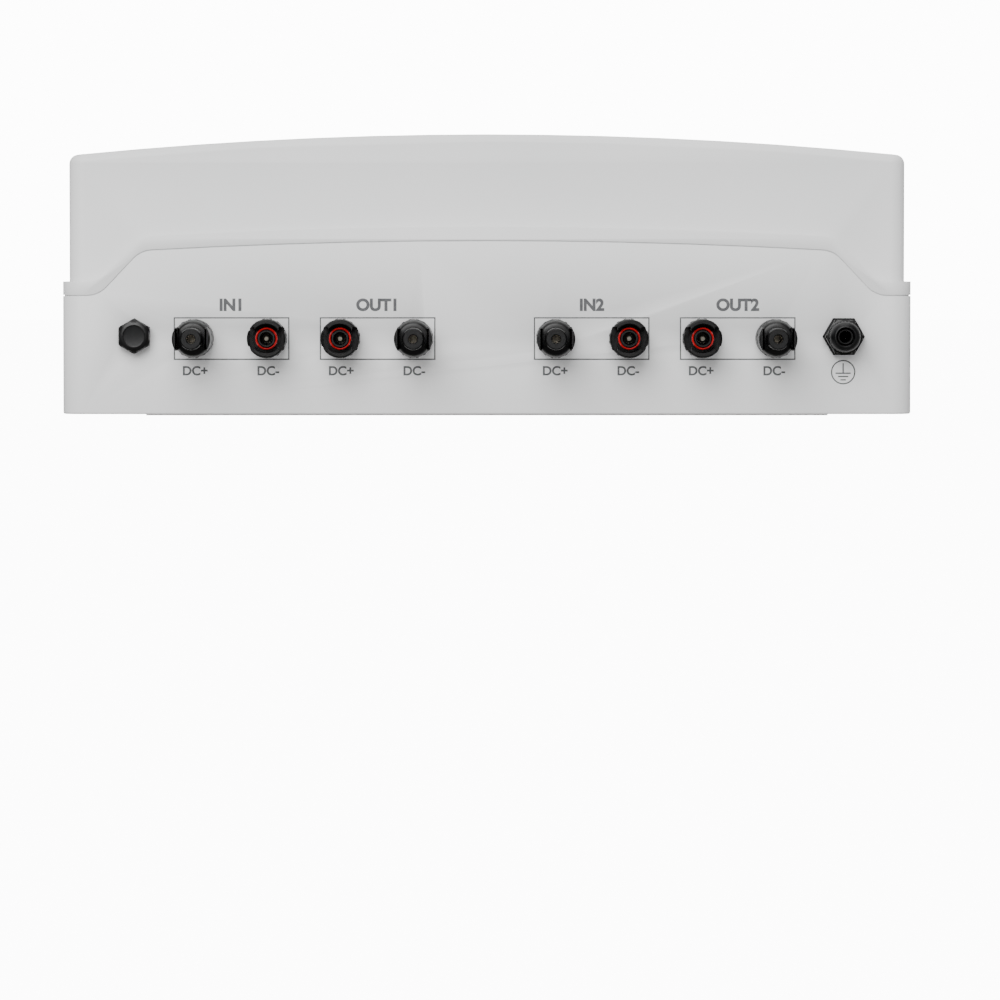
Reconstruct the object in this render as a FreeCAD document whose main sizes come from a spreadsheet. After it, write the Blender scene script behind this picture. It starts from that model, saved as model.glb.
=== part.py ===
"""PV string protection box: a wall-mounted DC combiner enclosure for two solar strings.

Frame: the box lies on its back. +Z points out of the wall, the origin is the middle of the back mounting face,
X runs along the width and the cable side with its eight connectors faces -Y. Millimetres throughout.
"""
import FreeCAD, Part
import math
import os
import re

import Sketcher

# ---------------------------------------------------------------------------------------------------------
# Driving dimensions
# ---------------------------------------------------------------------------------------------------------
SIZES = {
    # back box
    "width": 410.0, "depth": 285.0, "corner": 10.0, "pad": 1.5, "wall": 3.0, "floor_edge": 1.0,
    "pad_half": 166.5, "pad_low_a": -106.0, "pad_low_b": -29.0, "pad_rib": 1.0,
    "pad_up_a": 5.0, "pad_up_b": 106.0,
    "hang_x": 155.0, "hang_y": 95.0, "hang_radius": 2.75,
    # parting line: level at the sides, raised between the shoulders, slightly arched
    "part_low": 58.5, "part_shoulder": 80.1, "part_peak": 84.9, "rise_out": 187.3, "rise_in": 166.9,
    "rise_radius": 13.0, "band": 7.0, "rim": 6.0, "rim_height": 8.0,
    # front cover
    "inset": 3.2, "cover_corner": 7.0, "cover_wall": 2.8, "arch_side": 126.3, "arch_peak": 136.5, "edge": 4.5,
    "seal_inset": 2.2, "seal_width": 2.0, "seal_height": 2.0, "reveal_deep": 0.8, "reveal_high": 0.5,
    # recess under the door
    "deck": 112.0, "deck_thick": 2.5, "sill": 113.6, "recess_half": 100.0, "recess_wall": 2.5,
    "opening_x": 122.0, "opening_y": 78.0, "scoop_half": 12.0, "scoop_deep": 1.4,
    # door
    "door_half": 98.0, "proud": 0.8, "sheet": 2.5, "door_gap": 0.6, "bead": 2.2, "running": 0.05,
    "hinge_pin": 1.0, "fin_in": 69.4, "fin_out": 75.5, "plate_in": 86.0, "plate_out": 87.8, "lug_gap": 0.4,
    "fin_back": 193.0, "fin_high": 123.3, "fin_lean": 4.6, "lug_radius": 2.0,
    "strip_in": 96.8, "strip_out": 99.4, "strip_deep": 5.2, "strip_low": 0.5,
    # cover screws and pillars
    "screw_x": 186.0, "screw_y": 88.0, "pillar": 6.0, "pillar_split": 60.0, "shank": 2.2, "shank_gap": 0.2,
    "head": 4.5, "head_high": 3.0, "screw_deep": 12.0, "insert": 3.2,
    # module faceplate
    "face_x": 132.0, "face_y": 86.0, "face_thick": 1.8, "face_screw_x": 127.0, "face_screw_y": 82.0,
    "slot_gap": 0.8, "spine_half": 5.0, "spine_high": 9.7, "spine_wall": 1.6, "small_shank": 1.5,
    "small_head": 2.9, "small_head_high": 1.8,
    # rails and modules
    "row": 41.0, "rail_low": 50.0, "rail_high": 7.5, "rail_half": 165.0, "rail_metal": 1.0,
    "rail_brim": 17.5, "rail_web": 12.5, "post_x": 150.0, "post": 6.0, "rail_screw": 2.0, "rail_head": 3.8,
    "module_x": 54.0, "pole": 18.0, "body_half": 37.0, "body_low": 51.5, "body_high": 108.0,
    "nose_half": 29.0, "nose_high": 123.0, "rail_slack": 0.3, "hook": 2.0, "hook_air": 0.1,
    "module_gap": 0.5, "groove_half": 0.5,
    "terminal": 3.2, "terminal_z": 80.0, "terminal_deep": 12.0, "driver": 3.4,
    "lever_half": 27.0, "lever_pivot": 116.0, "lever_hub": 8.0, "lever_reach": 15.0, "lever_thick": 15.0,
    "lever_lean": 17.0, "lever_gap": 0.5, "lever_slot": 11.0,
    "cart_gap": 0.4, "cart_half": 22.0, "grip_in": 28.0, "grip_out": 45.0, "grip_high": 131.0,
    "clip_half": 5.0, "clip_thick": 3.6, "clip_gap": 0.3, "clip_tail": 3.0,
    # earth bar
    "bar_x": 172.0, "bar_low": -52.0, "bar_high": 12.0, "bar_z": 30.0, "bar_half": 5.0, "bar_thick": 8.0,
    "bar_pitch": 10.0, "bar_screw": 2.0,
    # panel connectors: distances along the axis are from the wall's outer face
    "port_z": 38.2, "port_mid": -1.1, "port_gap": 68.0, "port_pitch": 35.2, "port_seal": 1.0,
    "port_flange": 7.1, "port_neck": 9.5, "port_flange_radius": 9.15, "port_neck_radius": 6.25,
    "port_barrel": 21.2, "port_taper": 25.3, "port_taper_radius": 7.5, "nose": 5.25, "nose_end": 41.9,
    "finger_out": 9.2, "finger_in": 6.7, "finger_tall": 5.5, "shell_radius": 9.35, "shell_end": 24.9,
    "shell_bore": 6.9, "shell_floor": 12.0, "tube": 4.2, "tube_end": 23.4, "tube_bore": 3.0,
    "contact": 2.0, "pin_root": 2.4, "contact_back": 10.0, "socket_back": 25.0,
    "pin_end": 21.5, "socket_end": 40.6, "break_edge": 1.0,
    "latch_in": 14.5, "latch_end": 20.5, "latch_tall": 2.2, "ring": 5.4, "ring_back": 20.6, "ring_end": 22.6,
    "thread": 5.4, "thread_gap": 0.2, "tail": 16.0, "nut_flat": 15.0, "nut_high": 5.0,
    # vent plug and gland
    "vent_x": -169.8, "vent_z": 39.2, "vent_flat": 15.0, "vent_high": 8.0, "vent_thread": 5.8,
    "vent_bore": 2.5, "vent_slot": 1.0, "crown_foot": 9.0, "crown_tip": 6.3,
    "gland_x": 171.8, "gland_z": 39.0, "gland_flat": 17.7,
    "gland_flange": 5.0, "gland_thread": 5.8, "gland_neck": 5.3, "gland_neck_end": 14.0, "gland_tail": 9.0,
    "dome_flat": 16.0, "dome_start": 5.6, "dome_hex": 7.0, "dome_end": 20.5, "dome_radius": 7.4,
    "dome_mouth": 5.6, "dome_hole": 4.4, "dome_taper": 4.0, "thread_room": 1.0, "insert_out": 4.1,
    "insert_bore": 3.0, "insert_lean": 0.6, "insert_end": 19.0, "insert_bend": 16.0, "nut_air": 0.15,
    # wires
    "wire": 2.5, "wire_bend": 10.0, "wire_lane": 20.0, "link": 2.0, "earth_wire": 2.0, "earth_lane": 30.0,
    "earth_step": 7.0, "earth_bend": 14.0,
}
STRINGS = ("in_1", "out_1", "in_2", "out_2")
SHAPES_OF_PORTS = ("probe", "shell", "shell", "probe", "probe", "shell", "shell", "probe")

TO_FRONT = FreeCAD.Rotation(FreeCAD.Vector(1, 0, 0), 90)     # local Z becomes -Y, out of the cable side
ALONG_X = FreeCAD.Rotation(FreeCAD.Vector(0, 1, 0), 90)      # local Z becomes +X
ALONG_Y = FreeCAD.Rotation(FreeCAD.Vector(1, 0, 0), -90)     # local Z becomes +Y
UPRIGHT = FreeCAD.Rotation()
FULL_TURN = 360

doc = FreeCAD.newDocument("StringBox")
sheet = doc.addObject("Spreadsheet::Sheet", "Sizes")
pieces = []


def fill_sheet():
    """Writes every driving dimension to the sheet under its alias."""
    for line, (alias, number) in enumerate(SIZES.items(), start=1):
        sheet.set(f"A{line}", alias)
        sheet.set(f"B{line}", str(number))
        sheet.setAlias(f"B{line}", alias)
    doc.recompute()


def bound(text):
    """An expression in the sheet's aliases, written the way setExpression needs it."""
    return re.sub(r"[a-z][a-z_]*[a-z]", lambda m: f"Sizes.{m[0]}" if m[0] in SIZES else m[0], str(text))


def value(text):
    """The number that an expression gives now."""
    return float(sheet.evalExpression(bound(text)))


def bind(thing, **sizes):
    """Ties properties to expressions."""
    for prop, text in sizes.items():
        thing.setExpression(prop, bound(text))
    return thing


def place(thing, at, turn=UPRIGHT):
    """Gives a turn, and a position tied to the sheet."""
    thing.Placement = FreeCAD.Placement(FreeCAD.Vector(), turn)
    for axis, text in zip("xyz", at):
        thing.setExpression(f"Placement.Base.{axis}", bound(text))
    return thing


# ---------------------------------------------------------------------------------------------------------
# Building blocks
# ---------------------------------------------------------------------------------------------------------
def block(name, x, y, z):
    """A box between a low and a high value along each axis."""
    made = doc.addObject("Part::Box", name)
    bind(made, Length=f"({x[1]}) - ({x[0]})", Width=f"({y[1]}) - ({y[0]})", Height=f"({z[1]}) - ({z[0]})")
    return place(made, (x[0], y[0], z[0]))


def rod(name, radius, length, at, turn=UPRIGHT):
    """A cylinder from a point along its turned Z axis."""
    return place(bind(doc.addObject("Part::Cylinder", name), Radius=radius, Height=length), at, turn)


def taper(name, radius_a, radius_b, length, at, turn=UPRIGHT):
    """A cone frustum."""
    made = bind(doc.addObject("Part::Cone", name), Radius1=radius_a, Radius2=radius_b, Height=length)
    return place(made, at, turn)


def hexagon(name, flats, length, at, turn=UPRIGHT):
    """A hexagonal prism, sized across its flats."""
    made = doc.addObject("Part::Prism", name)
    made.Polygon = 6
    bind(made, Circumradius=f"({flats}) / sqrt(3)", Height=length)
    return place(made, at, turn)


def cut(name, base, *tools):
    """The base less the tools."""
    made = doc.addObject("Part::Cut", name)
    made.Base = base
    made.Tool = tools[0] if len(tools) == 1 else fuse(f"{name}_tools", *tools)
    return made


def fuse(name, *shapes):
    """The shapes joined."""
    made = doc.addObject("Part::MultiFuse", name)
    made.Shapes = list(shapes)
    return made


def common(name, *shapes):
    """What the shapes share."""
    made = doc.addObject("Part::MultiCommon", name)
    made.Shapes = list(shapes)
    return made


def group(name, *shapes):
    """Separate solids kept together as one sub-part."""
    made = doc.addObject("Part::Compound", name)
    made.Links = list(shapes)
    return made


def copy(name, shape, at, turn=UPRIGHT):
    """The same shape again, placed from the sheet."""
    return place(group(name, shape), at, turn)


def rounded(name, base, radius, picks):
    """Fillets the edges that a test picks."""
    doc.recompute()
    made = doc.addObject("Part::Fillet", name)
    made.Base = base
    size = value(radius)
    made.Edges = [(i, size, size) for i, edge in enumerate(base.Shape.Edges, start=1) if picks(edge)]
    return made


def runs_along(edge, axis):
    """Whether a straight edge runs along an axis, given as a unit vector."""
    ends = edge.Vertexes
    if not isinstance(edge.Curve, Part.Line) or len(ends) != 2:
        return False
    way = (ends[1].Point - ends[0].Point).normalize()
    return abs(abs(way.dot(axis)) - 1) < 1e-6


def outline(sketch, points, arcs=None):
    """Draws a closed outline whose corners, and the middles of whose arcs, are tied to the sheet."""
    arcs = arcs or {}
    spots = [FreeCAD.Vector(value(x), value(y), 0) for x, y in points]
    for i, start in enumerate(spots):
        end = spots[(i + 1) % len(spots)]
        if i in arcs:
            middle = FreeCAD.Vector(*[value(t) for t in arcs[i]], 0)
            sketch.addGeometry(Part.Arc(start, middle, end), False)
        else:
            sketch.addGeometry(Part.LineSegment(start, end), False)
    starts = []
    for i, geometry in enumerate(sketch.Geometry):
        forward = (geometry.StartPoint - spots[i]).Length < 1e-6
        starts.append((1, 2) if forward else (2, 1))
    for i in range(len(spots)):
        after = (i + 1) % len(spots)
        sketch.addConstraint(Sketcher.Constraint("Coincident", i, starts[i][1], after, starts[after][0]))
    for i, spot in enumerate(points):
        tie_point(sketch, i, starts[i][0], spot)
    for i, spot in arcs.items():
        place_on_arc(sketch, i, spot)
    return sketch


def tie_point(sketch, geometry, end, spot):
    """Ties one sketch point's coordinates to expressions."""
    for kind, text in zip(("DistanceX", "DistanceY"), spot):
        made = sketch.addConstraint(Sketcher.Constraint(kind, -1, 1, geometry, end, value(text)))
        sketch.setExpression(f"Constraints[{made}]", bound(text))


def place_on_arc(sketch, arc, spot):
    """Adds a tied construction point and makes the arc pass through it."""
    where = FreeCAD.Vector(value(spot[0]), value(spot[1]), 0)
    point = sketch.addGeometry(Part.Point(where), True)
    tie_point(sketch, point, 1, spot)
    sketch.addConstraint(Sketcher.Constraint("PointOnObject", point, 1, arc))


def extruded(name, points, length, at=("0", "0", "0"), turn=UPRIGHT, arcs=None, symmetric=False):
    """A closed outline pushed along its turned normal."""
    sketch = outline(doc.addObject("Sketcher::SketchObject", f"{name}_outline"), points, arcs)
    made = doc.addObject("Part::Extrusion", name)
    made.Base = sketch
    made.DirMode = "Normal"
    made.Solid = True
    made.Symmetric = symmetric
    bind(made, LengthFwd=length)
    return place(made, at, turn)


def turned(name, profile):
    """A solid of revolution about Z from (radius, height) points."""
    sketch = outline(doc.addObject("Sketcher::SketchObject", f"{name}_profile"), profile)
    sketch.Placement = FreeCAD.Placement(FreeCAD.Vector(), FreeCAD.Rotation(FreeCAD.Vector(1, 0, 0), 90))
    made = doc.addObject("Part::Revolution", name)
    made.Source = sketch
    made.Axis = FreeCAD.Vector(0, 0, 1)
    made.Angle = FULL_TURN
    made.Solid = True
    return made


def plan_block(name, inset, radius, low, high):
    """A rounded rectangle, set in from the outer plan, between two heights."""
    half_x, half_y = f"(width / 2 - ({inset}))", f"(depth / 2 - ({inset}))"
    sharp = block(f"{name}_sharp", (f"-{half_x}", half_x), (f"-{half_y}", half_y), (low, high))
    return rounded(name, sharp, radius, lambda edge: runs_along(edge, FreeCAD.Vector(0, 0, 1)))


def arch_block(name, half, side, peak, y_half, bottom="0"):
    """Everything under an arch that runs along X, between -y_half and y_half."""
    points = [(f"-({half})", bottom), (half, bottom), (half, side), (f"-({half})", side)]
    return extruded(name, points, f"2 * ({y_half})", turn=TO_FRONT, arcs={2: ("0", peak)}, symmetric=True)


def piece(label, shape):
    """Names a finished sub-part."""
    shape.Label = label
    pieces.append(shape)
    return shape


def body(name):
    """An empty PartDesign body."""
    made = doc.addObject("PartDesign::Body", name)
    doc.recompute()
    return made


def body_sketch(owner, name, plane, offset="0"):
    """A sketch on one of the body's own origin planes, moved along its normal."""
    sketch = owner.newObject("Sketcher::SketchObject", name)
    support = [f for f in owner.Origin.OriginFeatures if f.Role == plane][0]
    sketch.AttachmentSupport = [(support, "")]
    sketch.MapMode = "FlatFace"
    sketch.setExpression("AttachmentOffset.Base.z", bound(offset))
    return sketch


def pad(owner, name, sketch, length, midplane=False):
    """Pads a sketch of the body."""
    made = owner.newObject("PartDesign::Pad", name)
    made.Profile = sketch
    made.Midplane = midplane
    bind(made, Length=length)
    doc.recompute()
    return made


def pocket(owner, name, sketch, length=None, reversed_way=False, midplane=False):
    """Pockets a sketch of the body, through everything when no length is given."""
    made = owner.newObject("PartDesign::Pocket", name)
    made.Profile = sketch
    made.Reversed = reversed_way
    made.Midplane = midplane
    if length is None:
        made.Type = 1
    else:
        bind(made, Length=length)
    before = owner.Shape.Volume
    doc.recompute()
    if owner.Shape.Volume > before - 1e-6:
        raise RuntimeError(f"{name} cut nothing")
    return made


def circles(sketch, radius, centres):
    """Draws tied circles."""
    for i, centre in enumerate(centres):
        where = FreeCAD.Vector(value(centre[0]), value(centre[1]), 0)
        sketch.addGeometry(Part.Circle(where, FreeCAD.Vector(0, 0, 1), value(radius)), False)
        tie_point(sketch, i, 3, centre)
        made = sketch.addConstraint(Sketcher.Constraint("Radius", i, value(radius)))
        sketch.setExpression(f"Constraints[{made}]", bound(radius))
    return sketch


def corners_of(x, y):
    """The four corners of a pattern that is symmetric about both planes."""
    return [(f"{sx}({x})", f"{sy}({y})") for sx in ("-", "") for sy in ("-", "")]


# ---------------------------------------------------------------------------------------------------------
# Housing
# ---------------------------------------------------------------------------------------------------------
PORTS = [f"port_mid {side} (port_gap / 2 + {step} * port_pitch)"
         for side, steps in (("-", (3, 2, 1, 0)), ("+", (0, 1, 2, 3))) for step in steps]
HALF_COVER = "(width / 2 - inset)"
WALL_FACE = "(-depth / 2)"
SCREWS = corners_of("screw_x", "screw_y")


def rising_block():
    """Everything under the parting line: level at the sides, up both shoulders and over a slight arch."""
    points = [("-width", "0"), ("width", "0"), ("width", "part_low"), ("rise_out", "part_low"),
              ("rise_in", "part_shoulder"), ("-rise_in", "part_shoulder"), ("-rise_out", "part_low"),
              ("-width", "part_low")]
    sharp = extruded("rising_sharp", points, "depth + 2 * wall", turn=TO_FRONT, arcs={4: ("0", "part_peak")},
                     symmetric=True)

    def at_shoulder(edge):
        if not runs_along(edge, FreeCAD.Vector(0, 1, 0)):
            return False
        middle = edge.CenterOfMass
        return any(abs(abs(middle.x) - value(x)) < 1e-3 for x in ("rise_out", "rise_in"))

    return rounded("rising", sharp, "rise_radius", at_shoulder)


def back_box(rising):
    """The wall side of the housing: floor with pads, walls up to the parting line, posts and bosses."""
    sharp = plan_block("box_outer", "0", "corner", "pad", "part_peak + band")
    outer = rounded("box_outer_soft", sharp, "floor_edge",
                    lambda edge: edge.BoundBox.ZMax < value("pad") + 1e-6)
    inner = plan_block("box_inner", "wall", "corner - wall", "pad + wall", "part_peak + 2 * band")
    shell = cut("box_shell", outer, inner)
    rim_out = plan_block("rim_out", "wall", "corner - wall", "pad + wall", "part_peak + band")
    rim_in = plan_block("rim_in", "rim", "corner - rim", "0", "part_peak + 2 * band")
    below_rim = copy("below_rim", rising, ("0", "0", "-rim_height"))
    rim = cut("rim_ring", rim_out, rim_in, below_rim)
    walls = common("box_walls", fuse("box_full", shell, rim), rising)
    pads = [block(f"pad_{i}", ("-pad_half", "pad_half"), (low, high), ("0", "pad"))
            for i, (low, high) in enumerate((("pad_low_a", "pad_low_b"), ("-pad_rib", "pad_rib"),
                                             ("pad_up_a", "pad_up_b")))]
    posts = [rod(f"rail_post_{i}", "post", "rail_low - pad - wall", (x, y, "pad + wall"))
             for i, (x, y) in enumerate(corners_of("post_x", "row"))]
    bosses = [rod(f"screw_boss_{i}", "pillar", "pillar_split - pad - wall", (x, y, "pad + wall"))
              for i, (x, y) in enumerate(SCREWS)]
    solid = fuse("box_solid", walls, *pads, *posts, *bosses)
    holes = [rod(f"hang_hole_{i}", "hang_radius", "3 * wall", (x, y, "-wall"))
             for i, (x, y) in enumerate(corners_of("hang_x", "hang_y"))]
    holes += [rod(f"post_hole_{i}", "rail_screw", "screw_deep", (x, y, "rail_low - screw_deep"))
              for i, (x, y) in enumerate(corners_of("post_x", "row"))]
    holes += [rod(f"boss_hole_{i}", "insert", "screw_deep", (x, y, "pillar_split - screw_deep"))
              for i, (x, y) in enumerate(SCREWS)]
    inside = f"{WALL_FACE} + 1.5 * wall"
    holes += [rod(f"port_hole_{i}", "thread + thread_gap", "2 * wall", (x, inside, "port_z"), TO_FRONT)
              for i, x in enumerate(PORTS)]
    holes.append(rod("vent_hole", "vent_thread + thread_gap", "2 * wall",
                     ("vent_x", inside, "vent_z"), TO_FRONT))
    holes.append(rod("gland_hole", "gland_thread + thread_gap", "2 * wall", ("gland_x", inside, "gland_z"),
                     TO_FRONT))
    piece("back_box", cut("box", solid, *holes))


def reveal_ring(rising):
    """The shallow shadow gap round the outside, just above the parting line."""
    outer = plan_block("reveal_outer", "-wall", "corner", "part_low - wall", "part_peak + band")
    inner = plan_block("reveal_inner", "reveal_deep", "corner - reveal_deep", "0", "part_peak + 2 * band")
    top = copy("reveal_top", rising, ("0", "0", "reveal_high"))
    return common("reveal", cut("reveal_band", outer, inner, rising), top)


def seal_ring(rising):
    """The foam strip in the cover's groove, which follows the parting line."""
    outer = plan_block("seal_outer", "seal_inset", "corner - seal_inset",
                       "part_low - wall", "part_peak + band")
    inner = plan_block("seal_inner", "seal_inset + seal_width", "corner - seal_inset - seal_width",
                       "0", "part_peak + 2 * band")
    top = copy("seal_top", rising, ("0", "0", "seal_height"))
    return common("seal", cut("seal_band", outer, inner, rising), top)


def front_cover(rising, seal):
    """The cover: flush band, set-in arched shell, the recess under the door, its lugs and screw pillars."""
    step = copy("step_top", rising, ("0", "0", "band"))
    band_plan = plan_block("band_plan", "0", "corner", "part_low - wall", "part_peak + 2 * band")
    band = common("cover_band", band_plan, step)
    arch = arch_block("cover_roof", HALF_COVER, "arch_side", "arch_peak", "depth / 2")
    plan = plan_block("cover_plan", "inset", "cover_corner", "part_low - wall", "arch_peak + wall")
    sharp = common("cover_sharp", plan, arch)

    def at_roof(edge):
        return edge.BoundBox.ZMin > value("arch_side") - 1 and not runs_along(edge, FreeCAD.Vector(0, 0, 1))

    outer = fuse("cover_outer", rounded("cover_round", sharp, "edge", at_roof), band)
    hollow_plan = plan_block("hollow_plan", "inset + cover_wall", "cover_corner - cover_wall", "0",
                             "arch_peak + wall")
    hollow_roof = arch_block("hollow_roof", HALF_COVER, "arch_side - cover_wall", "arch_peak - cover_wall",
                             "depth / 2")
    trough = block("trough", ("-width", "width"),
                   ("-(recess_half + recess_wall)", "recess_half + recess_wall"),
                   ("deck - deck_thick", "arch_peak + wall"))
    hollow = cut("cover_hollow", common("hollow_full", hollow_plan, hollow_roof), trough)
    shell = cut("cover_shell", outer, rising, hollow, seal, reveal_ring(rising))
    recess = block("recess", ("-(width / 2 - inset - cover_wall)", "width / 2 - inset - cover_wall"),
                   ("-recess_half", "recess_half"), ("deck", "arch_peak + wall"))
    window = block("window", ("-width", "width"), ("-recess_half", "recess_half"),
                   ("sill", "arch_peak + wall"))
    scoop = block("scoop", ("-width / 2", "-(width / 2 - inset - cover_wall)"), ("-scoop_half", "scoop_half"),
                  ("sill - scoop_deep", "arch_peak"))
    opening = block("deck_opening", ("-opening_x", "opening_x"), ("-opening_y", "opening_y"),
                    ("deck - 2 * deck_thick", "deck + wall"))
    pillars = [rod(f"pillar_{i}", "pillar", "deck - deck_thick / 2 - pillar_split", (x, y, "pillar_split"))
               for i, (x, y) in enumerate(SCREWS)]
    holes = [rod(f"pillar_hole_{i}", "shank + shank_gap", "deck - pillar_split + 2 * wall",
                 (x, y, "pillar_split - wall")) for i, (x, y) in enumerate(SCREWS)]
    holes += [rod(f"face_hole_{i}", "small_shank", "2 * deck_thick", (x, y, "deck - 1.5 * deck_thick"))
              for i, (x, y) in enumerate(corners_of("face_screw_x", "face_screw_y"))]
    open_shell = cut("cover_open", shell, recess, window, scoop, opening)
    piece("front_cover", cut("cover", fuse("cover_whole", open_shell, *pillars, *door_lugs()), *holes))


HINGE_X = "(width / 2 - inset - bead)"
HINGE_Z = "(sill + door_gap + bead)"


def door_lugs():
    """Two fins and two thin plates that hold the door's hinge pins."""
    lugs = []
    for side, flip in (("right", 1), ("left", -1)):
        for kind, inside, outside in (("fin", "fin_in", "fin_out"), ("plate", "plate_in", "plate_out")):
            low, high = (inside, outside) if flip == 1 else (f"-{outside}", f"-{inside}")
            name = f"{kind}_{side}"
            foot = block(f"{name}_foot", ("fin_back", HINGE_X), (low, high),
                         ("deck", f"{HINGE_Z} + lug_radius"))
            eye = rod(f"{name}_eye", "lug_radius", f"({high}) - ({low})", (HINGE_X, low, HINGE_Z), ALONG_Y)
            lugs += [foot, eye, stem(name, kind, flip)]
    bores = [rod(f"pin_bore_{i}", "hinge_pin", "plate_out - fin_in", (HINGE_X, low, HINGE_Z), ALONG_Y)
             for i, low in enumerate(("fin_in", "-plate_out"))]
    return [cut("lugs", fuse("lugs_full", *lugs), *bores)]


def stem(name, kind, flip):
    """The upright of a lug: a gusset with a slanted outer edge on a fin, a plain plate otherwise."""
    reach = f"(width / 2 - inset - sheet - door_gap - fin_back)"
    if kind == "fin":
        foot_out, tip_out = "(fin_out + fin_lean)", "fin_out"
        points = [("fin_in", "deck"), (foot_out, "deck"), (tip_out, f"{HINGE_Z} + lug_radius"),
                  (f"{tip_out} - lug_radius", "fin_high"), ("fin_in", "fin_high")]
    else:
        points = [("plate_in", "deck"), ("plate_out", "deck"), ("plate_out", "fin_high"),
                  ("plate_in", "fin_high")]
    sign = "" if flip == 1 else "-"
    points = [(f"{sign}({y})", z) for y, z in points]
    turn = FreeCAD.Rotation(FreeCAD.Vector(0, 1, 0), FreeCAD.Vector(0, 0, 1), FreeCAD.Vector(1, 0, 0), "ZXY")
    return extruded(f"{name}_stem", points, reach, ("fin_back", "0", "0"), turn)


# ---------------------------------------------------------------------------------------------------------
# Door
# ---------------------------------------------------------------------------------------------------------
def window_door():
    """The smoked cover over the modules: an arched sheet with a skirt at each end and a hinge bead."""
    outer = arch_block("door_arch", HALF_COVER, "arch_side + proud", "arch_peak + proud", "door_half",
                       "sill + door_gap")
    inner = arch_block("door_under", f"{HALF_COVER} - sheet", "arch_side + proud - sheet",
                       "arch_peak + proud - sheet", "door_half + wall", "0")
    side_x, reach = value(HALF_COVER), value("sheet") + 1

    def at_top_end(edge):
        if not runs_along(edge, FreeCAD.Vector(0, 1, 0)):
            return False
        middle = edge.CenterOfMass
        return middle.z > value("arch_side") - reach and abs(abs(middle.x) - side_x) < reach

    outer = rounded("door_round", outer, "edge", at_top_end)
    inner = rounded("door_hollow", inner, "edge - sheet", at_top_end)
    hem = block("door_hem", (f"{HINGE_X} - bead", "width"), ("-width", "width"), ("0", HINGE_Z))
    sheet_part = cut("door_sheet", outer, inner, hem)
    bead = rod("door_bead", "bead", "2 * door_half", (HINGE_X, "-door_half", HINGE_Z), ALONG_Y)
    catch_spans = (("-fin_in", "-fin_in + scoop_half"), ("fin_in - scoop_half", "fin_in"))
    catches = [block(f"door_catch_{i}", (f"-({HALF_COVER} - sheet)", f"-({HALF_COVER} - 2 * sheet)"), span,
                     ("sill + door_gap", "arch_side - sheet")) for i, span in enumerate(catch_spans)]
    notches = []
    for i, (low, high) in enumerate((("fin_in", "fin_out + fin_lean"), ("plate_in", "plate_out"))):
        for sign in ("", "-"):
            ends = (f"{low} - lug_gap", f"{high} + lug_gap")
            span = ends if sign == "" else (f"-({ends[1]})", f"-({ends[0]})")
            notches.append(block(f"door_notch_{i}{sign and 'b'}", (f"{HINGE_X} - bead - sheet", "width"), span,
                                 ("0", f"{HINGE_Z} + bead + lug_gap")))
    bores = [rod(f"bead_bore_{i}", "hinge_pin + running", "plate_out - fin_in", (HINGE_X, low, HINGE_Z),
                 ALONG_Y) for i, low in enumerate(("fin_in", "-plate_out"))]
    piece("window_door", cut("door", fuse("door_whole", sheet_part, bead, *catches), *notches, *bores))


def door_gaskets():
    """Black strips along the door's two arched edges, closing the seams."""
    strips = []
    strip_half = f"({HALF_COVER} - edge)"
    for i, sign in enumerate((1, -1)):
        def span(low, high):
            return (low, high) if sign == 1 else (f"-({high})", f"-({low})")
        under = arch_block(f"strip_under_{i}", strip_half, "arch_side + proud - sheet",
                           "arch_peak + proud - sheet", "depth / 2")
        floor = arch_block(f"strip_cut_{i}", HALF_COVER, "arch_side + proud - strip_deep",
                           "arch_peak + proud - strip_deep", "depth")
        top = arch_block(f"strip_top_{i}", strip_half, "arch_side - strip_low", "arch_peak - strip_low",
                         "depth / 2")
        across, height = ("-width", "width"), ("0", "arch_peak + wall")
        low_part = common(f"strip_low_{i}", under,
                          block(f"strip_low_box_{i}", across, span("strip_in", "strip_out"), height))
        high_part = common(f"strip_high_{i}", top,
                           block(f"strip_high_box_{i}", across, span("door_half", "strip_out"), height))
        strips.append(cut(f"strip_{i}", fuse(f"strip_full_{i}", low_part, high_part), floor))
    piece("door_gaskets", group("gaskets", *strips))


def hinge_pins():
    """Two steel pins, pressed into the fins and plates."""
    pins = [rod(f"hinge_pin_{i}", "hinge_pin", "plate_out - fin_in", (HINGE_X, low, HINGE_Z), ALONG_Y)
            for i, low in enumerate(("fin_in", "-plate_out"))]
    piece("door_hinge_pins", group("hinge_pins", *pins))


# ---------------------------------------------------------------------------------------------------------
# Fasteners of the cover and faceplate
# ---------------------------------------------------------------------------------------------------------
def cover_screws():
    """Long screws from the recess into the box's inserts."""
    screws, inserts = [], []
    for i, (x, y) in enumerate(SCREWS):
        head = rod(f"screw_head_{i}", "head", "head_high", (x, y, "deck"))
        drive = hexagon(f"screw_drive_{i}", "head", "head_high", (x, y, "deck + head_high / 3"))
        shank = rod(f"screw_shank_{i}", "shank", "deck - pillar_split + screw_deep - running",
                    (x, y, "pillar_split - screw_deep + running"))
        screws.append(cut(f"screw_{i}", fuse(f"screw_full_{i}", head, shank), drive))
        sleeve = rod(f"insert_sleeve_{i}", "insert", "screw_deep", (x, y, "pillar_split - screw_deep"))
        bore = rod(f"insert_bore_{i}", "shank", "2 * screw_deep", (x, y, "pillar_split - screw_deep"))
        inserts.append(cut(f"insert_{i}", sleeve, bore))
    piece("cover_screws", group("screws", *screws))
    piece("screw_inserts", group("inserts", *inserts))


SLOT_X = "(2 * pole + slot_gap)"
SLOT_Y = "(nose_half + slot_gap)"


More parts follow.
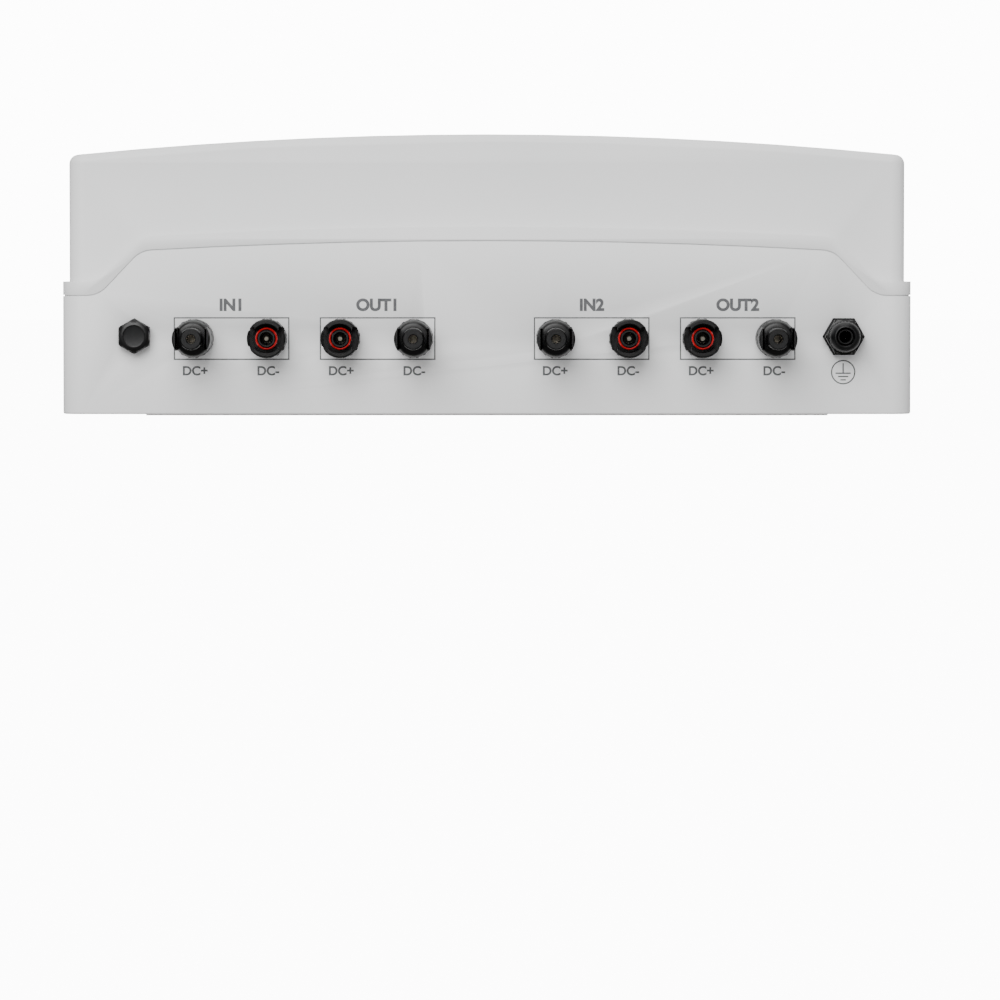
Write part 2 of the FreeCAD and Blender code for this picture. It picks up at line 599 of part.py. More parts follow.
def module_faceplate():
    """The white plate over the modules, with four slots and a raised marker spine."""
    owner = body("faceplate")
    plate = outline(body_sketch(owner, "faceplate_plan", "XY_Plane", "deck"),
                    [("-face_x", "-face_y"), ("face_x", "-face_y"), ("face_x", "face_y"),
                     ("-face_x", "face_y")])
    pad(owner, "faceplate_pad", plate, "face_thick")
    spine = outline(body_sketch(owner, "spine_plan", "XY_Plane", "deck"),
                    [("-(module_x + 2 * pole)", "-spine_half"), ("module_x + 2 * pole", "-spine_half"),
                     ("module_x + 2 * pole", "spine_half"), ("-(module_x + 2 * pole)", "spine_half")])
    pad(owner, "spine_pad", spine, "face_thick + spine_high")
    under = outline(body_sketch(owner, "spine_under", "XY_Plane", "deck"),
                    [("-(module_x + 2 * pole - spine_wall)", "-(spine_half - spine_wall)"),
                     ("module_x + 2 * pole - spine_wall", "-(spine_half - spine_wall)"),
                     ("module_x + 2 * pole - spine_wall", "spine_half - spine_wall"),
                     ("-(module_x + 2 * pole - spine_wall)", "spine_half - spine_wall")])
    pocket(owner, "spine_pocket", under, "face_thick + spine_high - spine_wall", reversed_way=True)
    for i, (x, y) in enumerate(corners_of("module_x", "row")):
        slot = outline(body_sketch(owner, f"slot_plan_{i}", "XY_Plane", "deck"),
                       [(f"{x} - {SLOT_X}", f"{y} - {SLOT_Y}"), (f"{x} + {SLOT_X}", f"{y} - {SLOT_Y}"),
                        (f"{x} + {SLOT_X}", f"{y} + {SLOT_Y}"), (f"{x} - {SLOT_X}", f"{y} + {SLOT_Y}")])
        pocket(owner, f"slot_{i}", slot, "2 * face_thick", reversed_way=True)
    holes = circles(body_sketch(owner, "face_screw_plan", "XY_Plane", "deck"), "small_shank + shank_gap",
                    corners_of("face_screw_x", "face_screw_y"))
    pocket(owner, "face_screw_holes", holes, "2 * face_thick", reversed_way=True)
    piece("module_faceplate", owner)
    screws = []
    for i, (x, y) in enumerate(corners_of("face_screw_x", "face_screw_y")):
        head = rod(f"face_head_{i}", "small_head", "small_head_high", (x, y, "deck + face_thick"))
        shank = rod(f"face_shank_{i}", "small_shank", "face_thick + deck_thick", (x, y, "deck - deck_thick"))
        drive = block(f"face_drive_{i}", (f"{x} - small_head / 2", f"{x} + small_head / 2"),
                      (f"{y} - shank_gap", f"{y} + shank_gap"),
                      ("deck + face_thick + small_head_high / 2", "deck + face_thick + 2 * small_head_high"))
        screws.append(cut(f"face_screw_{i}", fuse(f"face_screw_full_{i}", head, shank), drive))
    piece("faceplate_screws", group("face_screws", *screws))


# ---------------------------------------------------------------------------------------------------------
# Rails, modules and earth bar
# ---------------------------------------------------------------------------------------------------------
def rail(label, y):
    """A top-hat rail of bent strip, padded from its section."""
    owner = body(f"{label}_body")
    metal = "rail_metal"
    top = "rail_low + rail_high"
    half = [("0", "rail_low"), ("rail_web", "rail_low"), ("rail_web", f"{top} - {metal}"),
            ("rail_brim", f"{top} - {metal}"), ("rail_brim", top), (f"rail_web - {metal}", top),
            (f"rail_web - {metal}", f"rail_low + {metal}"), ("0", f"rail_low + {metal}")]
    right = [(f"{y} + {a}", b) for a, b in half[1:-1]]
    left = [(f"{y} - ({a})", b) for a, b in reversed(half[1:-1])]
    section = outline(body_sketch(owner, f"{label}_section", "YZ_Plane"), right + left)
    pad(owner, f"{label}_pad", section, "2 * rail_half", midplane=True)
    holes = circles(body_sketch(owner, f"{label}_holes", "XY_Plane", "rail_low"), "rail_screw + shank_gap",
                    [("-post_x", y), ("post_x", y)])
    pocket(owner, f"{label}_pocket", holes, "2 * rail_metal", reversed_way=True)
    piece(label, owner)


def rail_screws():
    """Pan screws that hold the rails on their posts."""
    screws = []
    for i, (x, y) in enumerate(corners_of("post_x", "row")):
        head = rod(f"rail_head_{i}", "rail_head", "head_high", (x, y, "rail_low + rail_metal"))
        shank = rod(f"rail_shank_{i}", "rail_screw", "screw_deep + rail_metal - running",
                    (x, y, "rail_low - screw_deep + running"))
        screws.append(fuse(f"rail_screw_{i}", head, shank))
    piece("rail_screws", group("rail_screw_set", *screws))


POLES = ("-1.5 * pole", "-0.5 * pole", "0.5 * pole", "1.5 * pole")


def module_case(name):
    """A four-pole case about its own row centre: body, nose, rail channel, hook, terminals and clip guide."""
    half = "(2 * pole - module_gap)"
    top = "rail_low + rail_high"
    main = block(f"{name}_main", (f"-{half}", half), ("-body_half", "body_half"), ("body_low", "body_high"))
    nose_part = block(f"{name}_nose", (f"-{half}", half), ("-nose_half", "nose_half"),
                      ("body_high", "nose_high"))
    channel = block(f"{name}_channel", ("-width", "width"),
                    ("-(rail_brim + rail_slack)", "rail_brim + rail_slack"), ("0", top))
    hook_part = block(f"{name}_hook", (f"-{half}", half), ("rail_brim - hook", "rail_brim + 2 * rail_slack"),
                      ("body_low", f"{top} - rail_metal - hook_air"))
    guide = block(f"{name}_guide", ("-(clip_half + clip_gap)", "clip_half + clip_gap"),
                  ("-width", "-rail_brim"),
                  ("0", "body_low + clip_gap + clip_thick + clip_gap"))
    holes = []
    for side, y in (("a", "-(body_half + wall)"), ("b", "body_half - terminal_deep")):
        for i, x in enumerate(POLES):
            holes.append(rod(f"{name}_wire_hole_{side}{i}", "terminal", "terminal_deep + wall",
                             (x, y, "terminal_z"), ALONG_Y))
    for side in ("-", ""):
        for i, x in enumerate(POLES):
            holes.append(rod(f"{name}_driver_{side and 'n'}{i}", "driver", "body_high - terminal_z + wall",
                             (x, f"{side}(body_half - terminal_deep / 2)", "terminal_z + terminal + wall")))
    opened = cut(f"{name}_open", fuse(f"{name}_lump", main, nose_part), channel, guide, *holes)
    return fuse(f"{name}_solid", opened, hook_part)


def terminal_screws(name):
    """Slotted clamp screws under the driver holes, about a module's own centre."""
    screws = []
    for side in ("-", ""):
        for i, x in enumerate(POLES):
            y = f"{side}(body_half - terminal_deep / 2)"
            low = "terminal_z + terminal + wall"
            tag = f"{name}_{side and 'n'}{i}"
            head = rod(f"{tag}_head", "driver", "wall", (x, y, low))
            groove = block(f"{tag}_groove", (f"{x} - width", f"{x} + width"),
                           (f"{y} - groove_half", f"{y} + groove_half"),
                           (f"{low} + wall / 2", f"{low} + 2 * wall"))
            screws.append(cut(f"{tag}_screw", head, groove))
    return group(name, *screws)


TURN_ROUND = FreeCAD.Rotation(FreeCAD.Vector(0, 0, 1), 180)
LEVER_SPOTS = (("breaker_1", "-module_x"), ("breaker_2", "module_x"))
ARRESTER_SPOTS = (("surge_arrester_1", "-module_x"), ("surge_arrester_2", "module_x"))


def breakers(case):
    """Two four-pole isolators with a wide lever each."""
    screws = terminal_screws("breaker_screws_master")
    slot = block("lever_window", ("-(lever_half + lever_gap)", "lever_half + lever_gap"),
                 ("-lever_slot", "lever_slot"), ("lever_pivot", "nose_high + wall"))
    well = rod("lever_well", "lever_hub + lever_gap", "2 * (lever_half + lever_gap)",
               ("-(lever_half + lever_gap)", "0", "lever_pivot"), ALONG_X)
    opened = cut("breaker_master", case, slot, well)
    for name, x in LEVER_SPOTS:
        piece(f"{name}_case", copy(f"{name}_case_copy", opened, (x, "-row", "0")))
        piece(f"{name}_terminal_screws", copy(f"{name}_screw_copy", screws, (x, "-row", "0")))
        piece(f"{name}_lever", copy(f"{name}_lever_copy", lever(name), (x, "-row", "lever_pivot"),
                                    FreeCAD.Rotation(FreeCAD.Vector(1, 0, 0), -value("lever_lean"))))


def lever(name):
    """A ganged lever: a hub along X with a tapered paddle, upright about its own pivot."""
    hub = rod(f"{name}_hub", "lever_hub", "2 * lever_half", ("-lever_half", "0", "0"), ALONG_X)
    foot, tip = "lever_thick / 2", "lever_thick / 2 - break_edge"
    points = [(f"-({foot})", "0"), (foot, "0"), (tip, "lever_reach"), (f"-({tip})", "lever_reach")]
    turn = FreeCAD.Rotation(FreeCAD.Vector(0, 1, 0), FreeCAD.Vector(0, 0, 1), FreeCAD.Vector(1, 0, 0), "ZXY")
    paddle = extruded(f"{name}_paddle", points, "2 * lever_half", ("-lever_half", "0", "0"), turn)
    return fuse(f"{name}_lever_master", hub, paddle)


def surge_arresters(case):
    """Two arresters: a socket base and three plug-in cartridges each, with raised grips."""
    screws = terminal_screws("arrester_screws_master")
    bay = block("cartridge_bay", ("-(1.5 * pole + cart_gap)", "1.5 * pole + cart_gap"),
                ("-(cart_half + cart_gap)", "cart_half + cart_gap"), ("terminal_z + wall", "nose_high + wall"))
    base = cut("arrester_base_master", case, bay)
    cartridges = []
    for i, x in enumerate(("-pole", "0", "pole")):
        span = (f"{x} - pole / 2 + cart_gap", f"{x} + pole / 2 - cart_gap")
        main = block(f"cartridge_main_{i}", span, ("-cart_half", "cart_half"),
                     ("terminal_z + wall", "nose_high + break_edge"))
        grip = block(f"cartridge_grip_{i}", (f"{span[0]} + break_edge", f"{span[1]} - break_edge"),
                     ("-(grip_out - row)", "row - grip_in"), ("nose_high", "grip_high"))
        cartridges.append(fuse(f"cartridge_{i}", main, grip))
    carts = group("cartridge_master", *cartridges)
    for name, x in ARRESTER_SPOTS:
        piece(f"{name}_base", copy(f"{name}_base_copy", base, (x, "row", "0"), TURN_ROUND))
        piece(f"{name}_terminal_screws", copy(f"{name}_screw_copy", screws, (x, "row", "0"), TURN_ROUND))
        piece(f"{name}_cartridges", copy(f"{name}_cartridge_copy", carts, (x, "row", "0"), TURN_ROUND))


def din_clips():
    """A sliding foot in each module that hooks under the rail's brim."""
    reach = ("-(body_half + clip_tail)", "-(rail_brim - hook)")
    height = ("body_low + clip_gap", "body_low + clip_gap + clip_thick")
    flat = block("clip_flat", ("-clip_half", "clip_half"), reach, height)
    eye = rod("clip_eye", "small_shank", "2 * clip_thick", ("0", "-body_half - clip_tail / 3", "body_low"))
    clip = cut("clip_master", flat, eye)
    spots = [(x, "-row", UPRIGHT) for _, x in LEVER_SPOTS] + [(x, "row", TURN_ROUND) for _, x in ARRESTER_SPOTS]
    for i, (x, y, turn) in enumerate(spots, start=1):
        piece(f"din_clip_{i}", copy(f"din_clip_copy_{i}", clip, (x, y, "0"), turn))


def earth_bar():
    """A brass bar on a moulded holder, with six clamp screws."""
    owner = body("earth_bar_body")
    section = outline(body_sketch(owner, "earth_bar_section", "XY_Plane", "bar_z"),
                      [("bar_x - bar_half", "bar_low"), ("bar_x + bar_half", "bar_low"),
                       ("bar_x + bar_half", "bar_high"), ("bar_x - bar_half", "bar_high")])
    pad(owner, "earth_bar_pad", section, "bar_thick")
    spots = [("bar_x", f"bar_low + {n + 1} * bar_pitch") for n in range(5)]
    holes = circles(body_sketch(owner, "earth_bar_holes", "XY_Plane", "bar_z + bar_thick"), "bar_screw", spots)
    pocket(owner, "earth_bar_pocket", holes, "bar_thick / 2")
    piece("earth_bar", owner)
    holder = block("earth_holder", ("bar_x - bar_half", "bar_x + bar_half"), ("bar_low", "bar_high"),
                   ("pad + wall", "bar_z"))
    relief = block("earth_relief", ("bar_x - width", "bar_x + width"),
                   ("bar_low + bar_pitch", "bar_high - bar_pitch"), ("pad", "bar_z - wall"))
    piece("earth_bar_holder", cut("earth_holder_open", holder, relief))
    screws = []
    for i, (x, y) in enumerate(spots):
        low = "bar_z + bar_thick"
        shank = rod(f"earth_shank_{i}", "bar_screw", "bar_thick / 2", (x, y, "bar_z + bar_thick / 2"))
        head = rod(f"earth_head_{i}", "small_head", "small_head_high", (x, y, low))
        screws.append(fuse(f"earth_screw_{i}", shank, head))
    piece("earth_bar_screws", group("earth_screws", *screws))


# ---------------------------------------------------------------------------------------------------------
# Panel connectors: turned about Z outwards from the wall's outer face, then turned to the cable side
# ---------------------------------------------------------------------------------------------------------
def connector_stem():
    """The part that both kinds share, from the threaded tail to the neck, as profile points."""
    return [("thread", "-tail"), ("thread", "0"), ("thread", "port_seal"), ("port_flange_radius", "port_seal"),
            ("port_flange_radius", "port_flange"), ("port_neck_radius", "port_flange"),
            ("port_neck_radius", "port_neck")]


def probe_connector():
    """The plug-in kind: barrel, tapered shoulder, hollow nose and two locking fingers."""
    profile = [("wire", "-tail"), *connector_stem(), ("port_flange_radius", "port_neck"),
               ("port_flange_radius", "port_barrel"), ("port_taper_radius", "port_taper"),
               ("nose", "port_taper"), ("nose", "nose_end - break_edge"), ("nose - break_edge", "nose_end"),
               ("wire", "nose_end")]
    shape = turned("probe_turned", profile)
    fingers = []
    for side in ("", "-"):
        near, far = f"{side}finger_in", f"{side}finger_out"
        span = (near, far) if side == "" else (far, near)
        fingers.append(block(f"finger_{side and 'n'}", span, ("-finger_tall", "finger_tall"),
                             ("port_barrel", "nose_end")))
    trim = rod("finger_trim", "port_flange_radius", "nose_end", ("0", "0", "0"))
    return fuse("probe_master", shape, common("fingers", fuse("fingers_full", *fingers), trim))


def shell_connector():
    """The receiving kind: an open shell round a tube, with two windows for the fingers."""
    profile = [("wire", "-tail"), *connector_stem(), ("shell_radius", "port_neck"),
               ("shell_radius", "shell_end - break_edge"), ("shell_radius - break_edge", "shell_end"),
               ("shell_bore", "shell_end"),
               ("shell_bore", "shell_floor"), ("tube", "shell_floor"), ("tube", "tube_end"),
               ("tube_bore", "tube_end"), ("tube_bore", "contact_back"), ("pin_root", "contact_back"),
               ("pin_root", "0"), ("wire", "0")]
    shape = turned("shell_turned", profile)
    windows = block("finger_windows", ("-width", "width"), ("-latch_tall", "latch_tall"),
                    ("latch_in", "latch_end"))
    core = rod("finger_core", "shell_bore", "nose_end", ("0", "0", "0"))
    return cut("shell_master", shape, cut("windows", windows, core))


def connectors():
    """Eight panel connectors with their contacts, seals and nuts."""
    masters = {"probe": probe_connector(), "shell": shell_connector()}
    hole = rod("nut_bore", "thread", "2 * nut_high", ("0", "0", "-wall - 1.5 * nut_high"))
    nut = cut("nut_master", hexagon("nut_hex", "nut_flat", "nut_high", ("0", "0", "-wall - nut_high")), hole)
    rim = "port_flange_radius - break_edge"
    seal = turned("panel_seal_master", [("thread", "0"), (rim, "0"), (rim, "port_seal"),
                                        ("thread", "port_seal")])
    ring = turned("ring_master", [("tube", "ring_back"), ("ring", "ring_back"), ("ring", "ring_end"),
                                  ("tube", "ring_end")])
    pin = turned("pin_master", [("0", "0"), ("pin_root", "0"), ("pin_root", "contact_back"),
                                ("contact", "contact_back"), ("contact", "pin_end - break_edge"),
                                ("contact - break_edge", "pin_end"), ("0", "pin_end")])
    socket = turned("socket_master", [("0", "0"), ("wire", "0"), ("wire", "socket_end"),
                                      ("contact", "socket_end"), ("contact", "socket_back"),
                                      ("0", "socket_back")])
    sets = {"nuts": [], "seals": [], "rings": [], "pins": [], "sockets": []}
    for i, (x, kind) in enumerate(zip(PORTS, SHAPES_OF_PORTS)):
        at = (x, WALL_FACE, "port_z")
        sign = "plus" if i % 2 == 0 else "minus"
        label = f"{STRINGS[i // 2]}_{sign}_connector"
        piece(label, copy(f"{label}_copy", masters[kind], at, TO_FRONT))
        sets["nuts"].append(copy(f"nut_{i}", nut, at, TO_FRONT))
        sets["seals"].append(copy(f"panel_seal_{i}", seal, at, TO_FRONT))
        if kind == "shell":
            sets["rings"].append(copy(f"mouth_ring_{i}", ring, at, TO_FRONT))
            sets["pins"].append(copy(f"pin_{i}", pin, at, TO_FRONT))
        else:
            sets["sockets"].append(copy(f"socket_{i}", socket, at, TO_FRONT))
    labels = {"nuts": "connector_nuts", "seals": "connector_panel_seals", "rings": "connector_mouth_seals",
              "pins": "pin_contacts", "sockets": "socket_contacts"}
    for kind, label in labels.items():
        piece(label, group(f"{kind}_set", *sets[kind]))


# ---------------------------------------------------------------------------------------------------------
# Vent plug and gland
# ---------------------------------------------------------------------------------------------------------
POINT_UP = TO_FRONT.multiply(FreeCAD.Rotation(FreeCAD.Vector(0, 0, 1), 30))


def vent_plug():
    """A hexagonal pressure-balance plug with slotted head, membrane, seal and nut."""
    at = ("vent_x", WALL_FACE, "vent_z")
    head = hexagon("vent_head", "vent_flat", "vent_high - port_seal", ("0", "0", "port_seal"))
    crown = taper("vent_crown", "crown_foot", "crown_tip", "vent_high", ("0", "0", "port_seal"))
    stem_part = rod("vent_stem", "vent_thread", "tail + port_seal", ("0", "0", "-tail"))
    bore = rod("vent_bore_cut", "vent_bore", "tail + port_seal + vent_high / 2", ("0", "0", "-tail - wall"))
    slot = block("vent_cross_slot", ("-width", "width"), ("-vent_slot / 2", "vent_slot / 2"),
                 ("port_seal + vent_slot", "port_seal + 2 * vent_slot"))
    vent = cut("vent_master", fuse("vent_full", common("vent_cap", head, crown), stem_part), bore, slot)
    piece("vent_plug_body", copy("vent_body", vent, at, POINT_UP))
    seal = turned("vent_seal_master", [("vent_thread", "0"), ("vent_flat / 2", "0"),
                                       ("vent_flat / 2", "port_seal"), ("vent_thread", "port_seal")])
    piece("vent_plug_seal", copy("vent_seal", seal, at, POINT_UP))
    blank = hexagon("vent_nut_hex", "nut_flat", "nut_high", ("0", "0", "-wall - nut_high"))
    hole = rod("vent_nut_bore", "vent_thread", "2 * nut_high", ("0", "0", "-wall - 1.5 * nut_high"))
    nut = cut("vent_nut_master", blank, hole)
    piece("vent_plug_nut", copy("vent_nut", nut, at, POINT_UP))
    disc = rod("vent_disc", "vent_bore", "vent_slot / 2", ("0", "0", "-tail + vent_slot"))
    piece("vent_membrane", copy("vent_membrane_copy", disc, at, POINT_UP))


def cable_gland():
    """The earth cable's gland: body, seal, lock nut, clamp insert and dome nut."""
    at = ("gland_x", WALL_FACE, "gland_z")
    flange = hexagon("gland_flange_hex", "gland_flat", "gland_flange - port_seal", ("0", "0", "port_seal"))
    thread_part = rod("gland_thread_rod", "gland_thread", "gland_tail + port_seal", ("0", "0", "-gland_tail"))
    neck = rod("gland_neck_rod", "gland_neck", "gland_neck_end - gland_flange", ("0", "0", "gland_flange"))
    bore = rod("gland_bore", "insert_out + nut_air", "gland_tail + gland_neck_end + 2 * wall",
               ("0", "0", "-gland_tail - wall"))
    body_part = cut("gland_master", fuse("gland_full", flange, thread_part, neck), bore)
    piece("gland_body", copy("gland_body_copy", body_part, at, TO_FRONT))
    seal = turned("gland_seal_master", [("gland_thread", "0"), ("gland_flat / 2", "0"),
                                        ("gland_flat / 2", "port_seal"), ("gland_thread", "port_seal")])
    piece("gland_panel_seal", copy("gland_seal", seal, at, TO_FRONT))
    blank = hexagon("gland_nut_hex", "gland_flat", "nut_high", ("0", "0", "-wall - nut_high"))
    hole = rod("gland_nut_bore", "gland_thread", "2 * nut_high", ("0", "0", "-wall - 1.5 * nut_high"))
    nut = cut("gland_nut_master", blank, hole)
    piece("gland_lock_nut", copy("gland_lock_nut_copy", nut, at, TO_FRONT))
    insert_part = turned("insert_master", [("insert_bore", "gland_flange"), ("insert_out", "gland_flange"),
                                           ("insert_out", "insert_bend"),
                                           ("insert_out - insert_lean", "insert_end"),
                                           ("insert_bore", "insert_end")])
    piece("gland_clamp_insert", copy("gland_insert", insert_part, at, TO_FRONT))
    shape = fuse("dome_full", hexagon("dome_hex_part", "dome_flat", "dome_hex", ("0", "0", "dome_start")),
                 rod("dome_drum", "dome_radius", "dome_end - dome_start - dome_taper",
                     ("0", "0", "dome_start")),
                 taper("dome_cone", "dome_radius", "dome_mouth", "dome_taper",
                       ("0", "0", "dome_end - dome_taper")))
    hollow = fuse("dome_hollow", rod("dome_thread", "gland_neck + nut_air",
                                     "gland_neck_end - dome_start + thread_room", ("0", "0", "dome_start")),
                  rod("dome_throat", "dome_hole", "dome_end", ("0", "0", "dome_start")))
    piece("gland_dome_nut", copy("gland_dome", cut("dome_master", shape, hollow), at, TO_FRONT))


# ---------------------------------------------------------------------------------------------------------
# Internal wires: straight runs joined by tangent arcs
# ---------------------------------------------------------------------------------------------------------
def tube_along(name, route, radius, bend):
    """A round wire along straight runs joined by arcs of one radius."""
    spots = [FreeCAD.Vector(*[value(t) for t in spot]) for spot in route]
    edges, start = [], spots[0]
    for before, corner, after in zip(spots, spots[1:], spots[2:]):
        way_in, way_out = (corner - before).normalize(), (after - corner).normalize()
        turn = way_in.getAngle(way_out)
        back = value(bend) * math.tan(turn / 2)
        first, last = corner - way_in * back, corner + way_out * back
        inward = (way_out - way_in).normalize()
        middle = corner + inward * (value(bend) / math.cos(turn / 2) - value(bend))
        edges += [Part.LineSegment(start, first).toShape(), Part.Arc(first, middle, last).toShape()]
        start = last
    edges.append(Part.LineSegment(start, spots[-1]).toShape())
    path = Part.Wire(edges)
    heading = (spots[1] - spots[0]).normalize()
    section = Part.Wire([Part.Circle(spots[0], heading, value(radius)).toShape()])
    made = doc.addObject("Part::Feature", name)
    made.Shape = path.makePipeShell([section], True, False)
    expected = math.pi * value(radius) ** 2 * path.Length
    if abs(made.Shape.Volume - expected) > 0.02 * expected:
        raise RuntimeError(f"{name} is not a whole tube")
    return made


TERMINALS = [f"{x} {pole}" if pole.startswith("-") else f"{x} + {pole}"
             for _, x in LEVER_SPOTS for pole in POLES]


def string_wires():
    """One wire from each connector's tail up to its isolator terminal."""
    wires = []
    for i, (port, terminal) in enumerate(zip(PORTS, TERMINALS)):
        start, lane = f"{WALL_FACE} + tail", f"{WALL_FACE} + tail + wire_lane"
        route = [(port, start, "port_z"), (port, lane, "port_z"), (terminal, lane, "terminal_z"),
                 (terminal, "-(row + body_half - terminal_deep + wall)", "terminal_z")]
        wires.append(tube_along(f"string_wire_{i}", route, "wire", "wire_bend"))
    for label, picked in (("input_wires", (0, 1, 4, 5)), ("output_wires", (2, 3, 6, 7))):
        piece(label, group(f"{label}_set", *[wires[i] for i in picked]))


def link_wires():
    """Short insulated links between each isolator and its arrester."""
    reach = "(row - body_half + terminal_deep - wall)"
    links = [rod(f"link_{i}", "link", f"2 * {reach}", (x, f"-{reach}", "terminal_z"), ALONG_Y)
             for i, x in enumerate(TERMINALS)]
    piece("link_wires", group("links", *links))


def earth_wires():
    """One wire from each arrester to the end of the earth bar."""
    wires = []
    for i, (_, x) in enumerate(ARRESTER_SPOTS):
        lane = f"row + body_half + earth_lane + {1 - i} * earth_step"
        end_x = f"bar_x + {1 - 2 * i} * (bar_half - earth_wire - running)"
        end_z = "bar_z + bar_thick / 2"
        start_x = f"{x} + 0.5 * pole"
        start = (start_x, "row + body_half - terminal_deep + wall", "terminal_z")
        route = [start, (start_x, lane, "terminal_z"), (end_x, lane, end_z), (end_x, "bar_high", end_z)]
        wires.append(tube_along(f"earth_wire_{i}", route, "earth_wire", "earth_bend"))
    piece("earth_wires", group("earth_wire_set", *wires))


def check_model():
    """Stops on a failed object or a bad sub-part, before anything is written."""
    doc.recompute()
    for thing in doc.Objects:
        if {"Invalid", "Error"} & set(thing.State):
            raise RuntimeError(f"{thing.Name} did not recompute: {thing.State}")
    for thing in pieces:
        if thing.Shape.isNull() or not thing.Shape.isValid() or thing.Shape.Volume <= 0:
            raise RuntimeError(f"{thing.Label} has no valid shape")


def build():
    """Builds the model and writes one file for each sub-part."""
    fill_sheet()
    rising = rising_block()
    back_box(rising)
    seal = seal_ring(rising)
    front_cover(rising, seal)
    piece("cover_seal", seal)
    window_door()
    door_gaskets()
    hinge_pins()
    cover_screws()
    module_faceplate()
    rail("din_rail_lower", "-row")
    rail("din_rail_upper", "row")
    rail_screws()
    case = module_case("module")
    breakers(case)
    surge_arresters(case)
    din_clips()
    earth_bar()
    connectors()
    vent_plug()
    cable_gland()
    string_wires()
    link_wires()
    earth_wires()
    check_model()
    os.makedirs("parts", exist_ok=True)
    for thing in pieces:
        thing.Shape.exportStep(os.path.join("parts", f"{thing.Label}.step"))
    print(len(pieces), "sub-parts written")


build()
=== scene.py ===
"""Visual model of a PV string protection box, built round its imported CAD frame.

The box lies on its back: X is the width, -Y the cable side and +Z the door side. Every mesh is in metres.
"""
import logging
import math
from dataclasses import dataclass, field
from enum import Enum
from typing import Callable, Sequence

import bmesh
import bpy
from mathutils import Matrix, Vector


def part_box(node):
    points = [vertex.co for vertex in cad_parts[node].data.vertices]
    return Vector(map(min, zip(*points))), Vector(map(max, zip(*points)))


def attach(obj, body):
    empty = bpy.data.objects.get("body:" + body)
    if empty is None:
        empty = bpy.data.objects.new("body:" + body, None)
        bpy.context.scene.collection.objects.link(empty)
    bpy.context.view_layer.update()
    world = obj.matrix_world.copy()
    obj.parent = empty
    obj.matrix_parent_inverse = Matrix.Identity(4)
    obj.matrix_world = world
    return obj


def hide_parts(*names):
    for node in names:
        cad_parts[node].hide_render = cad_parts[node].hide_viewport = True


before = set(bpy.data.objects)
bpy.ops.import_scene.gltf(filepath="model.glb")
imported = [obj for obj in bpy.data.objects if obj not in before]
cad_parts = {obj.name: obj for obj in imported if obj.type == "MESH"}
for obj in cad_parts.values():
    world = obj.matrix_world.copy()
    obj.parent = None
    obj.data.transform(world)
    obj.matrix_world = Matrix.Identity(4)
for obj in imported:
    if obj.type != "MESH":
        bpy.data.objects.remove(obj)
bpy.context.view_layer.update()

LOG = logging.getLogger("string_box")
MM = 0.001
# Points nearer than this, in metres, are one.
MERGE = 2e-6
# Edges between faces at more than these angles stay sharp: mouldings, small parts, connectors, turned parts.
SHADE_DEG = 38.0
SMALL_DEG = 32.0
CONNECTOR_DEG = 28.0
TURNED_DEG = 24.0


class Body(Enum):
    """The CAD bodies that pieces ride on."""

    ENCLOSURE = "enclosure"
    DOOR = "door"
    GLAND_INSERT = "gland_insert"
    GLAND_NUT = "gland_nut"


class PortKind(Enum):
    """The two sexes of panel connector."""

    PROBE = "probe"
    SHELL = "shell"


def mid(node: str) -> Vector:
    """The middle of a CAD node's box at rest."""
    low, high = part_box(node)
    return (low + high) / 2


# ---------------------------------------------------------------------------------------------------------
# Finishes
# ---------------------------------------------------------------------------------------------------------
def linear(hex_colour: str) -> tuple[float, float, float, float]:
    """Turns six sRGB hex digits to linear red, green, blue and a full alpha."""
    parts = [int(hex_colour[i:i + 2], 16) / 255 for i in (0, 2, 4)]
    rgb = [c / 12.92 if c <= 0.04045 else ((c + 0.055) / 1.055) ** 2.4 for c in parts]
    return rgb[0], rgb[1], rgb[2], 1.0


def add_node(tree: bpy.types.NodeTree, kind: str, settings: dict | None = None,
             links: dict | None = None) -> bpy.types.Node:
    """Adds a shader or geometry node.

    Args:
        tree: The node tree.
        kind: The node's bl_idname.
        settings: Properties by name, and socket values by "in:NAME".
        links: Output sockets by the name or number of the input that they feed.

    Returns:
        The new node.
    """
    node = tree.nodes.new(kind)
    for key, item in (settings or {}).items():
        if key.startswith("in:"):
            node.inputs[key[3:]].default_value = item
        else:
            setattr(node, key, item)
    for key, source in (links or {}).items():
        tree.links.new(source, node.inputs[key])
    return node


def noise(tree: bpy.types.NodeTree, place: bpy.types.NodeSocket, size_mm: float, detail: float,
          rough: float = 0.5) -> bpy.types.NodeSocket:
    """Adds a noise texture.

    Args:
        tree: The material's tree.
        place: The coordinates that it is sampled at.
        size_mm: Size of its features.
        detail: Octaves.
        rough: How strong the finer octaves are.

    Returns:
        The noise's value.
    """
    made = add_node(tree, "ShaderNodeTexNoise",
                    {"in:Scale": 1 / (size_mm * MM), "in:Detail": detail, "in:Roughness": rough},
                    {"Vector": place})
    return made.outputs["Fac"]


